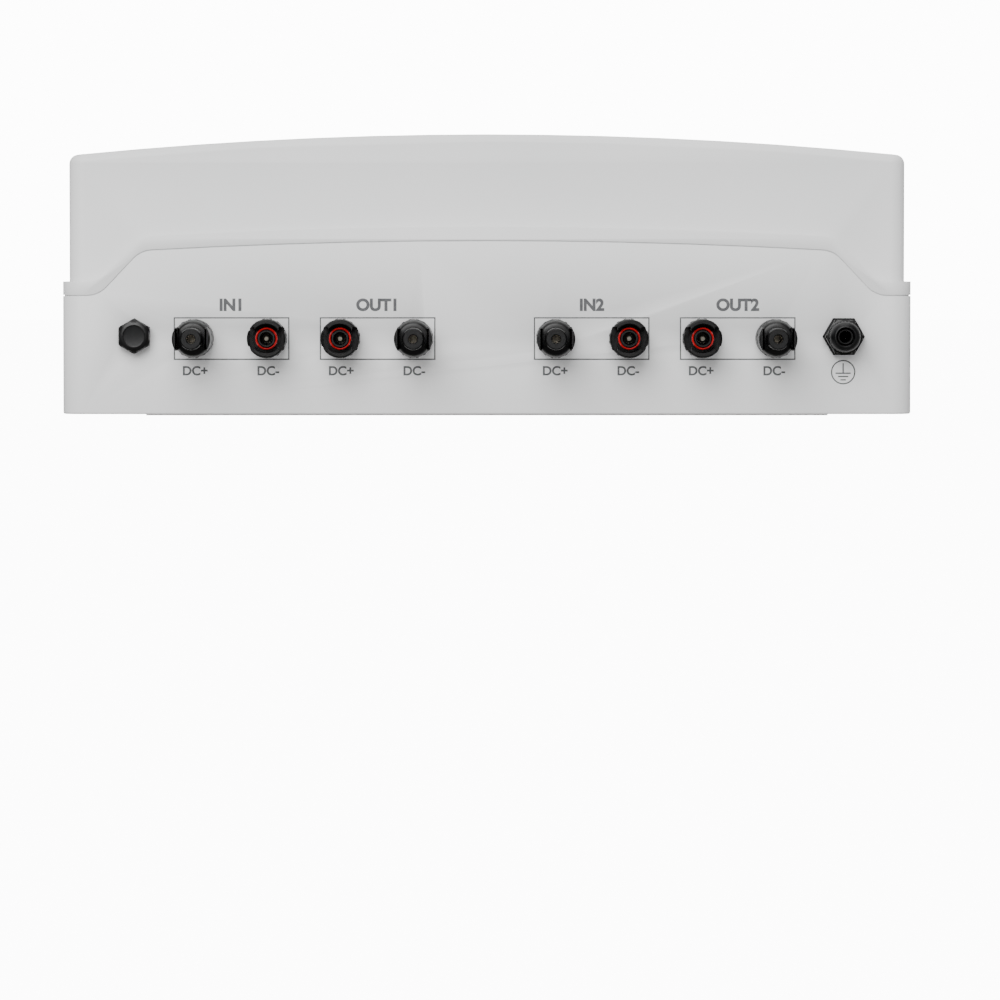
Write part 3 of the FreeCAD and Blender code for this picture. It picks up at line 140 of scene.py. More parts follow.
@dataclass(frozen=True)
class Finish:
    """A moulded, turned or plated surface: one shader with grain, a soft tonal drift and a fine bump.

    Attributes:
        name: The material's common name and surface.
        slot: A material slot name; nothing in this script reads it.
        colour: sRGB hex of the lit surface.
        drift: sRGB hex that the colour drifts towards.
        roughness: Mean roughness.
        rough_span: How far the roughness wanders either way.
        grain_mm: Spacing of the surface grain.
        grain_depth_mm: Height of the grain.
        drift_mm: Size of the tonal drift.
        settings: More shader sockets that are constant over the surface.
    """

    name: str
    slot: str
    colour: str
    drift: str
    roughness: float
    rough_span: float = 0.05
    grain_mm: float = 0.6
    grain_depth_mm: float = 0.01
    drift_mm: float = 60.0
    settings: dict = field(default_factory=dict)

    def build(self) -> bpy.types.Material:
        """Makes the material, with all its nodes."""
        material = bpy.data.materials.new(self.name)
        material.use_nodes = True
        tree = material.node_tree
        shader = tree.nodes["Principled BSDF"]
        shader.inputs["Roughness"].default_value = self.roughness
        for socket, item in self.settings.items():
            shader.inputs[socket].default_value = item
        place = add_node(tree, "ShaderNodeTexCoord").outputs["Object"]
        self.dress(tree, shader, place)
        return material

    def dress(self, tree: bpy.types.NodeTree, shader: bpy.types.Node, place: bpy.types.NodeSocket) -> None:
        """Links colour, roughness and bump.

        Args:
            tree: The material's tree.
            shader: The Principled shader.
            place: Object coordinates.
        """
        tree.links.new(self.base_colour(tree, place), shader.inputs["Base Color"])
        span = add_node(tree, "ShaderNodeMapRange",
                        {"in:To Min": self.roughness - self.rough_span,
                         "in:To Max": self.roughness + self.rough_span},
                        {"Value": noise(tree, place, self.drift_mm / 3, 3.0)})
        tree.links.new(span.outputs["Result"], shader.inputs["Roughness"])
        bump = add_node(tree, "ShaderNodeBump",
                        {"in:Strength": 1.0, "in:Distance": self.grain_depth_mm * MM},
                        {"Height": self.grain(tree, place)})
        tree.links.new(bump.outputs["Normal"], shader.inputs["Normal"])

    def base_colour(self, tree: bpy.types.NodeTree, place: bpy.types.NodeSocket) -> bpy.types.NodeSocket:
        """The colour with its slow drift.

        Args:
            tree: The material's tree.
            place: Object coordinates.

        Returns:
            The colour output.
        """
        ramp = add_node(tree, "ShaderNodeValToRGB", links={"Fac": noise(tree, place, self.drift_mm, 2.0)})
        ramp.color_ramp.elements[0].position = 0.35
        ramp.color_ramp.elements[1].position = 0.7
        ramp.color_ramp.elements[0].color = linear(self.colour)
        ramp.color_ramp.elements[1].color = linear(self.drift)
        return ramp.outputs["Color"]

    def grain(self, tree: bpy.types.NodeTree, place: bpy.types.NodeSocket) -> bpy.types.NodeSocket:
        """The grain's height, from 0 to 1."""
        return noise(tree, place, self.grain_mm, 2.0, 0.6)


@dataclass(frozen=True)
class RuledFinish(Finish):
    """A finish whose grain runs in lines along one axis, as brushing, turning or drawing leaves it.

    Attributes:
        along: The axis number that the lines run along.
    """

    along: int = 0

    def grain(self, tree: bpy.types.NodeTree, place: bpy.types.NodeSocket) -> bpy.types.NodeSocket:
        """The ruled grain's height: noise stretched along its axis."""
        stretch = [1.0, 1.0, 1.0]
        stretch[self.along] = 0.04
        lines = add_node(tree, "ShaderNodeMapping", {"in:Scale": stretch}, {"Vector": place})
        return noise(tree, lines.outputs["Vector"], self.grain_mm, 3.0)


@dataclass(frozen=True)
class StripedFinish(Finish):
    """Two-colour insulation, in slanting bands.

    Attributes:
        stripe: sRGB hex of the second colour.
        stripe_mm: Spacing of the bands.
    """

    stripe: str = "000000"
    stripe_mm: float = 5.0

    def base_colour(self, tree: bpy.types.NodeTree, place: bpy.types.NodeSocket) -> bpy.types.NodeSocket:
        """Hard-edged bands of the two colours."""
        wave = add_node(tree, "ShaderNodeTexWave",
                        {"bands_direction": "DIAGONAL", "in:Scale": 0.5 / (self.stripe_mm * MM)},
                        {"Vector": place})
        ramp = add_node(tree, "ShaderNodeValToRGB", links={"Fac": wave.outputs["Fac"]})
        ramp.color_ramp.interpolation = "CONSTANT"
        ramp.color_ramp.elements[0].color = linear(self.colour)
        ramp.color_ramp.elements[1].position = 0.6
        ramp.color_ramp.elements[1].color = linear(self.stripe)
        return ramp.outputs["Color"]


# ABS, injection moulded in a spark-eroded tool: an even, neutral grey-white with a soft sheen.
MOULDED_ABS = Finish("Moulded ABS, grey-white", "housing_white", "DADADA", "D6D7D7", 0.44, 0.04, 0.7, 0.008,
                     90.0, {"IOR": 1.53, "Specular IOR Level": 0.45})
# The same resin in a polished tool: the plate over the modules is a little whiter and glossier.
PLATE_ABS = Finish("Moulded ABS, white plate", "faceplate_white", "E8E8E6", "E2E3E2", 0.34, 0.04, 0.9, 0.004,
                   70.0, {"IOR": 1.53})
# Polycarbonate with a grey dye, press-polished: clear, dark and glossy.
SMOKED_PC = Finish("Smoked polycarbonate, polished", "smoked_window", "626C6A", "5D6765", 0.03, 0.01, 26.0,
                   0.0001, 60.0, {"IOR": 1.585, "Transmission Weight": 1.0})
# EPDM: matt black with a faint grey bloom.
EPDM = Finish("EPDM rubber, moulded", "black_rubber", "0B0B0C", "151516", 0.78, 0.06, 0.5, 0.012, 12.0)
# Silicone: translucent-looking red with a soft gloss.
SILICONE = Finish("Silicone rubber, red", "red_seal", "B3161B", "8E0F14", 0.38, 0.05, 0.8, 0.006, 6.0,
                  {"Subsurface Weight": 0.08, "Subsurface Scale": 0.001})
# PPO and glass-filled polyamide: deep black, satin, with short-fibre grain.
BLACK_PA = Finish("Glass-filled polyamide, black", "connector_black", "060607", "0C0C0D", 0.38, 0.07, 0.45,
                  0.012, 8.0, {"IOR": 1.53, "Specular IOR Level": 0.35})
# The same polyamide in a springier, less filled grade, a little greyer.
CLIP_PA = Finish("Polyamide, black, clip grade", "clip_black", "101011", "19191A", 0.46, 0.06, 0.5, 0.01,
                 10.0)
# Polyamide, dyed: the modules' cases are a cool grey-green, their levers and cartridges bright green.
CASE_PA = Finish("Polyamide, grey-green case", "module_grey", "3F7F58", "387750", 0.42, 0.05, 0.6, 0.01, 30.0)
LEVER_PA = Finish("Polyamide, bright green", "lever_green", "00963A", "048A36", 0.28, 0.04, 0.7, 0.006, 20.0,
                  {"IOR": 1.53})
# Polyester film, printed on its back: pale, smooth and slightly glossy.
LABEL_PET = Finish("Printed polyester label, pale", "faceplate_white", "DDE2DE", "D2D8D4", 0.3, 0.03, 1.2,
                   0.002, 20.0)
# Zinc plate on drawn steel: cool, bright, finely ruled.
ZINC = RuledFinish("Bright zinc on steel, drawn", "zinc_steel", "C9CCD0", "B4B8BD", 0.28, 0.08, 0.5, 0.004,
                   12.0, {"Metallic": 1.0})
# Turned brass: warm, with fine tool lines.
BRASS = RuledFinish("Brass, turned", "brass", "D6B466", "C29C50", 0.26, 0.07, 0.4, 0.004, 10.0,
                    {"Metallic": 1.0})
# Tin plate on copper, its colour darkened as painted shade for the contacts that sit deep in the connectors'
# holes.
TIN = RuledFinish("Tin plate on copper", "contact_metal", "8C887E", "7A766C", 0.34, 0.06, 0.4, 0.003, 6.0,
                  {"Metallic": 1.0}, 1)
# Expanded PTFE: chalk white felt.
PTFE = Finish("Expanded PTFE membrane", "vent_membrane_white", "F1F1EE", "E6E6E2", 0.85, 0.05, 0.3, 0.02, 3.0)
# Cross-linked wire insulation, extruded: satin.
WIRE_RED = Finish("Wire insulation, red", "wire_red", "A5171A", "8C1215", 0.45, 0.05, 0.8, 0.006, 20.0)
WIRE_BLACK = Finish("Wire insulation, black", "wire_black", "141415", "1D1D1E", 0.45, 0.05, 0.8, 0.006, 20.0)
# The earth wires' PVC insulation is green and yellow.
WIRE_EARTH = StripedFinish("Wire insulation, green and yellow", "wire_earth", "1F7A34", "1F7A34", 0.45, 0.05,
                           0.8, 0.006, 20.0, {}, "E3C21B", 6.0)
# Pad-printed ink: flat dark grey, a few hundredths thick, slightly uneven.
INK = Finish("Pad-printed ink, dark grey", "housing_white", "4B4C4E", "58595B", 0.6, 0.05, 0.25, 0.004, 2.0)
# Opal studio board for the floor, lit from behind as a product table is, so it reads paler than the object.
BOARD = Finish("Opal studio board, lit", "housing_white", "FFFFFF", "FEFEFE", 0.9, 0.02, 2.0, 0.002, 300.0,
               {"Emission Color": (1.0, 1.0, 1.0, 1.0), "Emission Strength": 12.0})

_made: dict[str, bpy.types.Material] = {}


def material_of(finish: Finish) -> bpy.types.Material:
    """The finish's material, made once."""
    if finish.name not in _made:
        _made[finish.name] = finish.build()
    return _made[finish.name]


# ---------------------------------------------------------------------------------------------------------
# Mesh helpers
# ---------------------------------------------------------------------------------------------------------
def mesh_of(name: str, shape: bmesh.types.BMesh) -> bpy.types.Mesh:
    """The bmesh as a new mesh; the bmesh is freed."""
    mesh = bpy.data.meshes.new(name)
    shape.to_mesh(mesh)
    shape.free()
    return mesh


def linked(name: str, data: bpy.types.ID) -> bpy.types.Object:
    """A new object of the data, in the scene."""
    thing = bpy.data.objects.new(name, data)
    bpy.context.scene.collection.objects.link(thing)
    return thing


def soften(mesh: bpy.types.Mesh, limit_deg: float) -> None:
    """Shades a mesh smooth, with edges between faces at more than an angle kept sharp."""
    shape = bmesh.new()
    shape.from_mesh(mesh)
    for face in shape.faces:
        face.smooth = True
    for edge in shape.edges:
        edge.smooth = edge.calc_face_angle(0.0) < math.radians(limit_deg)
    shape.to_mesh(mesh)
    shape.free()


def finish_piece(name: str, shape: bmesh.types.BMesh, finish: Finish, body: str,
                 replaces: Sequence[str] = (), soft_limit: float = SMALL_DEG) -> None:
    """Turns a bmesh into a dressed piece on its body.

    Args:
        name: The piece's name.
        shape: The closed mesh, in metres in the row frame; freed here.
        finish: Its finish.
        body: The CAD body that it rides on.
        replaces: CAD nodes that it stands for.
        soft_limit: The sharp-edge angle in degrees.
    """
    mesh = mesh_of(name, shape)
    soften(mesh, soft_limit)
    dress_mesh(name, mesh, finish, body, replaces)


def dress_mesh(name: str, mesh: bpy.types.Mesh, finish: Finish, body: str,
               replaces: Sequence[str] = ()) -> bpy.types.Object:
    """Makes the object of a finished mesh, with its finish, body and the nodes that it replaces.

    Args:
        name: The piece's name.
        mesh: The finished mesh.
        finish: Its finish.
        body: The CAD body that it rides on.
        replaces: CAD nodes that it stands for.

    Returns:
        The new object.
    """
    mesh.materials.clear()
    mesh.materials.append(material_of(finish))
    for polygon in mesh.polygons:
        polygon.material_index = 0
    piece = linked(name, mesh)
    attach(piece, body)
    if replaces:
        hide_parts(*replaces)
    LOG.info("%s: %d faces on %s", name, len(mesh.polygons), body)
    return piece


def baked(thing: bpy.types.Object) -> bpy.types.Mesh:
    """The mesh that an object's modifiers give; the object is removed."""
    bpy.context.view_layer.update()
    graph = bpy.context.evaluated_depsgraph_get()
    mesh = bpy.data.meshes.new_from_object(thing.evaluated_get(graph))
    bpy.data.objects.remove(thing)
    return mesh


def loose_object(name: str, shape: bmesh.types.BMesh) -> bpy.types.Object:
    """A working object for modifiers; the bmesh is freed."""
    return linked(name, mesh_of(name, shape))


def merged_copy(node: str) -> bmesh.types.BMesh:
    """A CAD node's mesh with its loose triangles joined and its flat faces made whole."""
    shape = bmesh.new()
    shape.from_mesh(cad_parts[node].data)
    bmesh.ops.remove_doubles(shape, verts=shape.verts, dist=MERGE)
    bmesh.ops.dissolve_limit(shape, angle_limit=math.radians(0.4), verts=shape.verts, edges=shape.edges)
    return shape


def ease_edges(thing: bpy.types.Object, width_mm: float, segments: int, limit_deg: float) -> bpy.types.Mesh:
    """Bevels a working object's sharp edges; the object is removed.

    Args:
        thing: The working object.
        width_mm: Width of the eased edges.
        segments: Chords in each easing.
        limit_deg: Edges sharper than this are eased.

    Returns:
        The bevelled mesh.
    """
    ease = thing.modifiers.new("ease", "BEVEL")
    ease.width = width_mm * MM
    ease.segments = segments
    ease.limit_method = "ANGLE"
    ease.angle_limit = math.radians(limit_deg)
    ease.use_clamp_overlap = True
    return baked(thing)


def eased_copy(node: str, finish: Finish, body: str, width_mm: float, segments: int = 2) -> None:
    """Makes a CAD node again with its sharp edges eased, as moulding or tumbling leaves them.

    Args:
        node: The CAD node.
        finish: Its finish.
        body: The CAD body that it rides on.
        width_mm: Width of the eased edge.
        segments: Chords in each easing.
    """
    mesh = ease_edges(loose_object(node + "_work", merged_copy(node)), width_mm, segments, 40.0)
    soften(mesh, SHADE_DEG)
    dress_mesh(node + "_moulding", mesh, finish, body, [node])


def lathe(shape: bmesh.types.BMesh, profile: Sequence[tuple[float, float]], steps: int = 64,
          outline: Callable[[float, float], float] | None = None) -> None:
    """Adds a closed solid of revolution about Z to a bmesh, in millimetres.

    Args:
        shape: The bmesh.
        profile: Closed (radius, height) outline, anticlockwise seen with radius to the right.
        steps: Steps round the axis.
        outline: Gives the radius for (radius, angle), for hexagons.
    """
    rings = []
    for radius, height in profile:
        if radius == 0:
            rings.append([shape.verts.new((0, 0, height * MM))])
            continue
        ring = []
        for i in range(steps):
            angle = math.tau * i / steps
            r = outline(radius, angle) if outline else radius
            ring.append(shape.verts.new((r * math.cos(angle) * MM, r * math.sin(angle) * MM, height * MM)))
        rings.append(ring)
    for a, b in zip(rings, rings[1:] + rings[:1]):
        join_rings(shape, a, b)


def join_rings(shape: bmesh.types.BMesh, a: list, b: list) -> None:
    """Faces between two rings, either of which may be a single point."""
    if len(a) == 1 and len(b) == 1:
        return
    for i in range(max(len(a), len(b))):
        j = (i + 1) % max(len(a), len(b))
        if len(a) == 1:
            shape.faces.new((a[0], b[j], b[i]))
        elif len(b) == 1:
            shape.faces.new((a[i], a[j], b[0]))
        else:
            shape.faces.new((a[i], a[j], b[j], b[i]))


def hexagon_of(flats: float) -> Callable[[float, float], float]:
    """An outline function that limits a turned shape to a hexagon with vertices on +X and -X."""
    def outline(radius: float, angle: float) -> float:
        sector = (angle % (math.pi / 3)) - math.pi / 6
        return min(radius, flats / 2 / math.cos(sector))
    return outline


def round_edges(part: bmesh.types.BMesh, ease_mm: float) -> None:
    """Rounds every edge of a bmesh."""
    if ease_mm > 0:
        bmesh.ops.bevel(part, geom=part.edges[:], offset=ease_mm * MM, segments=2, profile=0.5,
                        affect="EDGES", clamp_overlap=True)


def add_block(shape: bmesh.types.BMesh, low: Sequence[float], high: Sequence[float],
              ease: float = 0.0) -> None:
    """Adds an eased block in millimetres.

    Args:
        shape: The bmesh.
        low: Its lowest corner.
        high: Its highest corner.
        ease: Rounding of its edges.
    """
    part = bmesh.new()
    for vertex in bmesh.ops.create_cube(part, size=1.0)["verts"]:
        vertex.co = Vector([(low[i] + high[i]) / 2 * MM + vertex.co[i] * (high[i] - low[i]) * MM
                            for i in range(3)])
    round_edges(part, ease)
    absorb(shape, part)


def absorb(shape: bmesh.types.BMesh, part: bmesh.types.BMesh, move: Matrix | None = None) -> None:
    """Adds one bmesh to another, moved, and frees it."""
    mesh = mesh_of("part", part)
    if move is not None:
        mesh.transform(move)
    shape.from_mesh(mesh)
    bpy.data.meshes.remove(mesh)


def to_cable_side(x: float, z: float) -> Matrix:
    """Moves a shape turned about Z onto the cable side's wall, pointing outwards; metres."""
    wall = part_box("back_box")[0].y
    return Matrix.Translation((x, wall, z)) @ Matrix.Rotation(math.radians(90), 4, "X")


# ---------------------------------------------------------------------------------------------------------
# Geometry Nodes: one tree for rings of copies and one for rows
# ---------------------------------------------------------------------------------------------------------
class Repeat(Enum):
    """How a shape repeats."""

    RING = "ring"
    ROW = "row"


class Repeater:
    """A Geometry Nodes tree that repeats an eased bar round a circle or along a line.

    Sizes are named inputs in metres. The tree realizes its copies and sets their material.
    """

    SIZES = ("Radius", "Length", "Width", "Height", "Spacing")

    def __init__(self, kind: Repeat) -> None:
        """Builds the tree.

        Args:
            kind: Ring or row.
        """
        self.kind = kind
        self.tree = bpy.data.node_groups.new(f"repeat_{kind.value}", "GeometryNodeTree")
        face = self.tree.interface
        face.new_socket("Geometry", in_out="OUTPUT", socket_type="NodeSocketGeometry")
        self.sockets = {"Count": face.new_socket("Count", in_out="INPUT", socket_type="NodeSocketInt")}
        for size in self.SIZES:
            self.sockets[size] = face.new_socket(size, in_out="INPUT", socket_type="NodeSocketFloat")
        self.sockets["Finish"] = face.new_socket("Finish", in_out="INPUT", socket_type="NodeSocketMaterial")
        self.wire()

    def wire(self) -> None:
        """Links the tree: points, one bar at each, realized and given its material."""
        tree = self.tree
        given = add_node(tree, "NodeGroupInput").outputs
        size = add_node(tree, "ShaderNodeCombineXYZ",
                        links={"X": given["Height"], "Y": given["Width"], "Z": given["Length"]})
        bar = add_node(tree, "GeometryNodeMeshCube", links={"Size": size.outputs["Vector"]})
        if self.kind is Repeat.RING:
            dots = add_node(tree, "GeometryNodeMeshCircle",
                            links={"Vertices": given["Count"], "Radius": given["Radius"]})
            spot = add_node(tree, "GeometryNodeInputPosition")
            face = add_node(tree, "FunctionNodeAlignRotationToVector", {"axis": "X"},
                            {"Vector": spot.outputs["Position"]})
            turn = {"Rotation": face.outputs["Rotation"]}
        else:
            step = add_node(tree, "ShaderNodeCombineXYZ", links={"X": given["Spacing"]})
            dots = add_node(tree, "GeometryNodeMeshLine", {"mode": "OFFSET"},
                            {"Count": given["Count"], "Offset": step.outputs["Vector"]})
            turn = {}
        copies = add_node(tree, "GeometryNodeInstanceOnPoints",
                          links={"Points": dots.outputs["Mesh"], "Instance": bar.outputs["Mesh"], **turn})
        real = add_node(tree, "GeometryNodeRealizeInstances", links={"Geometry": copies.outputs["Instances"]})
        dressed = add_node(tree, "GeometryNodeSetMaterial",
                           links={"Geometry": real.outputs["Geometry"], "Material": given["Finish"]})
        add_node(tree, "NodeGroupOutput", links={"Geometry": dressed.outputs["Geometry"]})

    def make(self, finish: Finish, count: int, **sizes: float) -> bpy.types.Mesh:
        """Bakes one repeat.

        Args:
            finish: The bars' finish.
            count: How many.
            **sizes: Input sizes in millimetres, by lower-case name.

        Returns:
            The mesh, centred on the repeat's own origin.
        """
        thing = linked("repeat_work", bpy.data.meshes.new("repeat_work"))
        grow = thing.modifiers.new("repeat", "NODES")
        grow.node_group = self.tree
        grow[self.sockets["Count"].identifier] = count
        grow[self.sockets["Finish"].identifier] = material_of(finish)
        for size in self.SIZES:
            grow[self.sockets[size].identifier] = sizes.get(size.lower(), 1.0) * MM
        return baked(thing)


def add_mesh(shape: bmesh.types.BMesh, mesh: bpy.types.Mesh, move: Matrix, ease_mm: float = 0.0) -> None:
    """Adds a baked mesh to a bmesh, moved and with its edges eased."""
    part = bmesh.new()
    part.from_mesh(mesh)
    round_edges(part, ease_mm)
    absorb(shape, part, move)


def boolean(thing: bpy.types.Object, tool: bmesh.types.BMesh, operation: str = "DIFFERENCE") -> None:
    """Cuts or joins a working object exactly, in place.

    Args:
        thing: The working object.
        tool: The tool's closed mesh; freed here.
        operation: DIFFERENCE or UNION.
    """
    other = loose_object("tool", tool)
    change = thing.modifiers.new("change", "BOOLEAN")
    change.operation = operation
    change.solver = "EXACT"
    change.object = other
    bpy.context.view_layer.update()
    graph = bpy.context.evaluated_depsgraph_get()
    old, new = thing.data, bpy.data.meshes.new_from_object(thing.evaluated_get(graph))
    thing.modifiers.remove(change)
    thing.data = new
    bpy.data.meshes.remove(old)
    bpy.data.objects.remove(other)


def with_block(thing: bpy.types.Object, low: Sequence[float], high: Sequence[float],
               operation: str = "DIFFERENCE") -> None:
    """Cuts a block out of a working object, or joins one to it, in millimetres."""
    tool = bmesh.new()
    add_block(tool, low, high)
    boolean(thing, tool, operation)


def eased_mesh(thing: bpy.types.Object, width_mm: float, limit_deg: float,
               soft_deg: float = SHADE_DEG) -> bpy.types.Mesh:
    """Eases a working object's sharp edges and shades it; the object is removed.

    Args:
        thing: The working object.
        width_mm: Width of the eased edges.
        limit_deg: Edges sharper than this are eased.
        soft_deg: Edges flatter than this are shaded smooth.

    Returns:
        The finished mesh.
    """
    shape = bmesh.new()
    shape.from_mesh(thing.data)
    bmesh.ops.remove_doubles(shape, verts=shape.verts, dist=MERGE)
    bmesh.ops.recalc_face_normals(shape, faces=shape.faces)
    shape.to_mesh(thing.data)
    shape.free()
    mesh = ease_edges(thing, width_mm, 2, limit_deg)
    soften(mesh, soft_deg)
    return mesh


def carry(finish: Finish, *nodes: str) -> None:
    """CAD nodes whose shape is right keep it, and get a real finish.

    Args:
        finish: The finish.
        *nodes: The CAD nodes.
    """
    for node in nodes:
        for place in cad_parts[node].material_slots:
            place.material = material_of(finish)
        LOG.info("%s: kept, with a new finish", node)


# ---------------------------------------------------------------------------------------------------------
# Housing
# ---------------------------------------------------------------------------------------------------------
@dataclass
class Housing:
    """The two moulded halves, with their seal."""

    ease_mm: float = 0.35

    def build(self) -> None:
        """Makes both halves with eased edges."""
        eased_copy("back_box", MOULDED_ABS, Body.ENCLOSURE.value, self.ease_mm)
        eased_copy("front_cover", MOULDED_ABS, Body.ENCLOSURE.value, self.ease_mm)
        carry(EPDM, "cover_seal")


@dataclass
class PrintedMarks:
    """Pad-printed frames, terminal names and the earth sign on the cable side.

    Sizes are in millimetres. A weight is a word's extra stroke as a share of its height, capital is the share
    of the font size that a capital letter stands, and an earth bar is its half length and its drop.
    """

    frame_long: float = 55.8
    frame_high: float = 20.6
    frame_low: float = 27.7
    line: float = 0.62
    ink: float = 0.03
    sunk: float = 0.02
    title_high: float = 5.4
    title_low: float = 51.6
    pole_high: float = 4.2
    pole_low: float = 20.4
    earth_radius: float = 5.9
    earth_z: float = 21.8
    title_weight: float = 0.27
    pole_weight: float = 0.17
    capital: float = 0.69
    titles: tuple[str, ...] = ("IN1", "OUT1", "IN2", "OUT2")
    earth_bars: tuple[tuple[float, float], ...] = ((3.7, 0.2), (2.5, 1.8), (1.3, 3.4))

    def build(self, port_x: Sequence[float], earth_x: float) -> None:
        """Prints everything as one piece of ink.

        Args:
            port_x: X of the eight connectors.
            earth_x: X of the gland.
        """
        shape = bmesh.new()
        for i, title in enumerate(self.titles):
            centre = (port_x[2 * i] + port_x[2 * i + 1]) / 2
            self.add_frame(shape, centre)
            self.add_word(shape, title, centre, self.title_low, self.title_high, self.title_weight)
            for word, x in (("DC+", port_x[2 * i]), ("DC-", port_x[2 * i + 1])):
                self.add_word(shape, word, x, self.pole_low, self.pole_high, self.pole_weight)
        self.add_earth(shape, earth_x)
        finish_piece("terminal_marks", shape, INK, Body.ENCLOSURE.value)

    def on_wall(self) -> float:
        """Y of the wall's outer face, in metres."""
        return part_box("back_box")[0].y

    def add_bar(self, shape: bmesh.types.BMesh, low: Sequence[float], high: Sequence[float]) -> None:
        """One flat bar of ink between (x, z) corners."""
        wall = self.on_wall() / MM
        add_block(shape, (low[0], wall - self.ink, low[1]), (high[0], wall + self.sunk, high[1]))

    def add_frame(self, shape: bmesh.types.BMesh, centre: float) -> None:
        """A rectangle of ink lines round a pair of connectors."""
        half, low, high = self.frame_long / 2, self.frame_low, self.frame_low + self.frame_high
        left, right, line = centre - half, centre + half, self.line
        self.add_bar(shape, (left, low), (right, low + line))
        self.add_bar(shape, (left, high - line), (right, high))
        self.add_bar(shape, (left, low + line), (left + line, high - line))
        self.add_bar(shape, (right - line, low + line), (right, high - line))

    def add_word(self, shape: bmesh.types.BMesh, word: str, centre: float, low: float, high: float,
                 weight: float) -> None:
        """A word of ink, centred on X and standing on a height.

        Args:
            shape: The ink's bmesh.
            word: The letters.
            centre: X of its middle.
            low: Z of its foot.
            high: Height of its capitals.
            weight: Extra stroke, as a share of the height.
        """
        curve = bpy.data.curves.new(word, "FONT")
        curve.body = word
        curve.align_x = "CENTER"
        curve.size = high / self.capital
        curve.offset = weight * high / 4
        curve.extrude = (self.ink + self.sunk) / 2
        letters = baked(linked(word, curve))
        middle = self.on_wall() - (self.ink - self.sunk) / 2 * MM
        move = Matrix.Translation((centre * MM, middle, low * MM)) @ Matrix.Rotation(math.radians(90), 4, "X")
        add_mesh(shape, letters, move @ Matrix.Scale(MM, 4))

    def add_earth(self, shape: bmesh.types.BMesh, centre: float) -> None:
        """The protective-earth sign: a ring, a stem and three bars."""
        ring = bmesh.new()
        out, depth = self.earth_radius, self.ink + self.sunk
        lathe(ring, [(out - self.line, 0), (out, 0), (out, depth), (out - self.line, depth)], 64)
        sink = Matrix.Translation((0, self.sunk * MM, 0))
        absorb(shape, ring, sink @ to_cable_side(centre * MM, self.earth_z * MM))
        self.add_bar(shape, (centre - self.line / 2, self.earth_z - 0.2),
                     (centre + self.line / 2, self.earth_z + 4.3))
        for half, down in self.earth_bars:
            top = self.earth_z - down
            self.add_bar(shape, (centre - half, top - self.line), (centre + half, top))


# ---------------------------------------------------------------------------------------------------------
# Panel connectors
# ---------------------------------------------------------------------------------------------------------
def thread(radius: float, low: float, high: float, pitch: float = 1.0, deep: float = 0.35) -> list:
    """Profile points of a thread-like run of grooves.

    Args:
        radius: Crest radius.
        low: Where it starts.
        high: Where it ends.
        pitch: From crest to crest.
        deep: Groove depth.

    Returns:
        (radius, height) points from low to high.
    """
    points = []
    for i in range(int((high - low) / pitch)):
        foot = low + i * pitch
        points += [(radius, foot), (radius, foot + 0.35 * pitch), (radius - deep, foot + 0.6 * pitch)]
    return points + [(radius, high)]


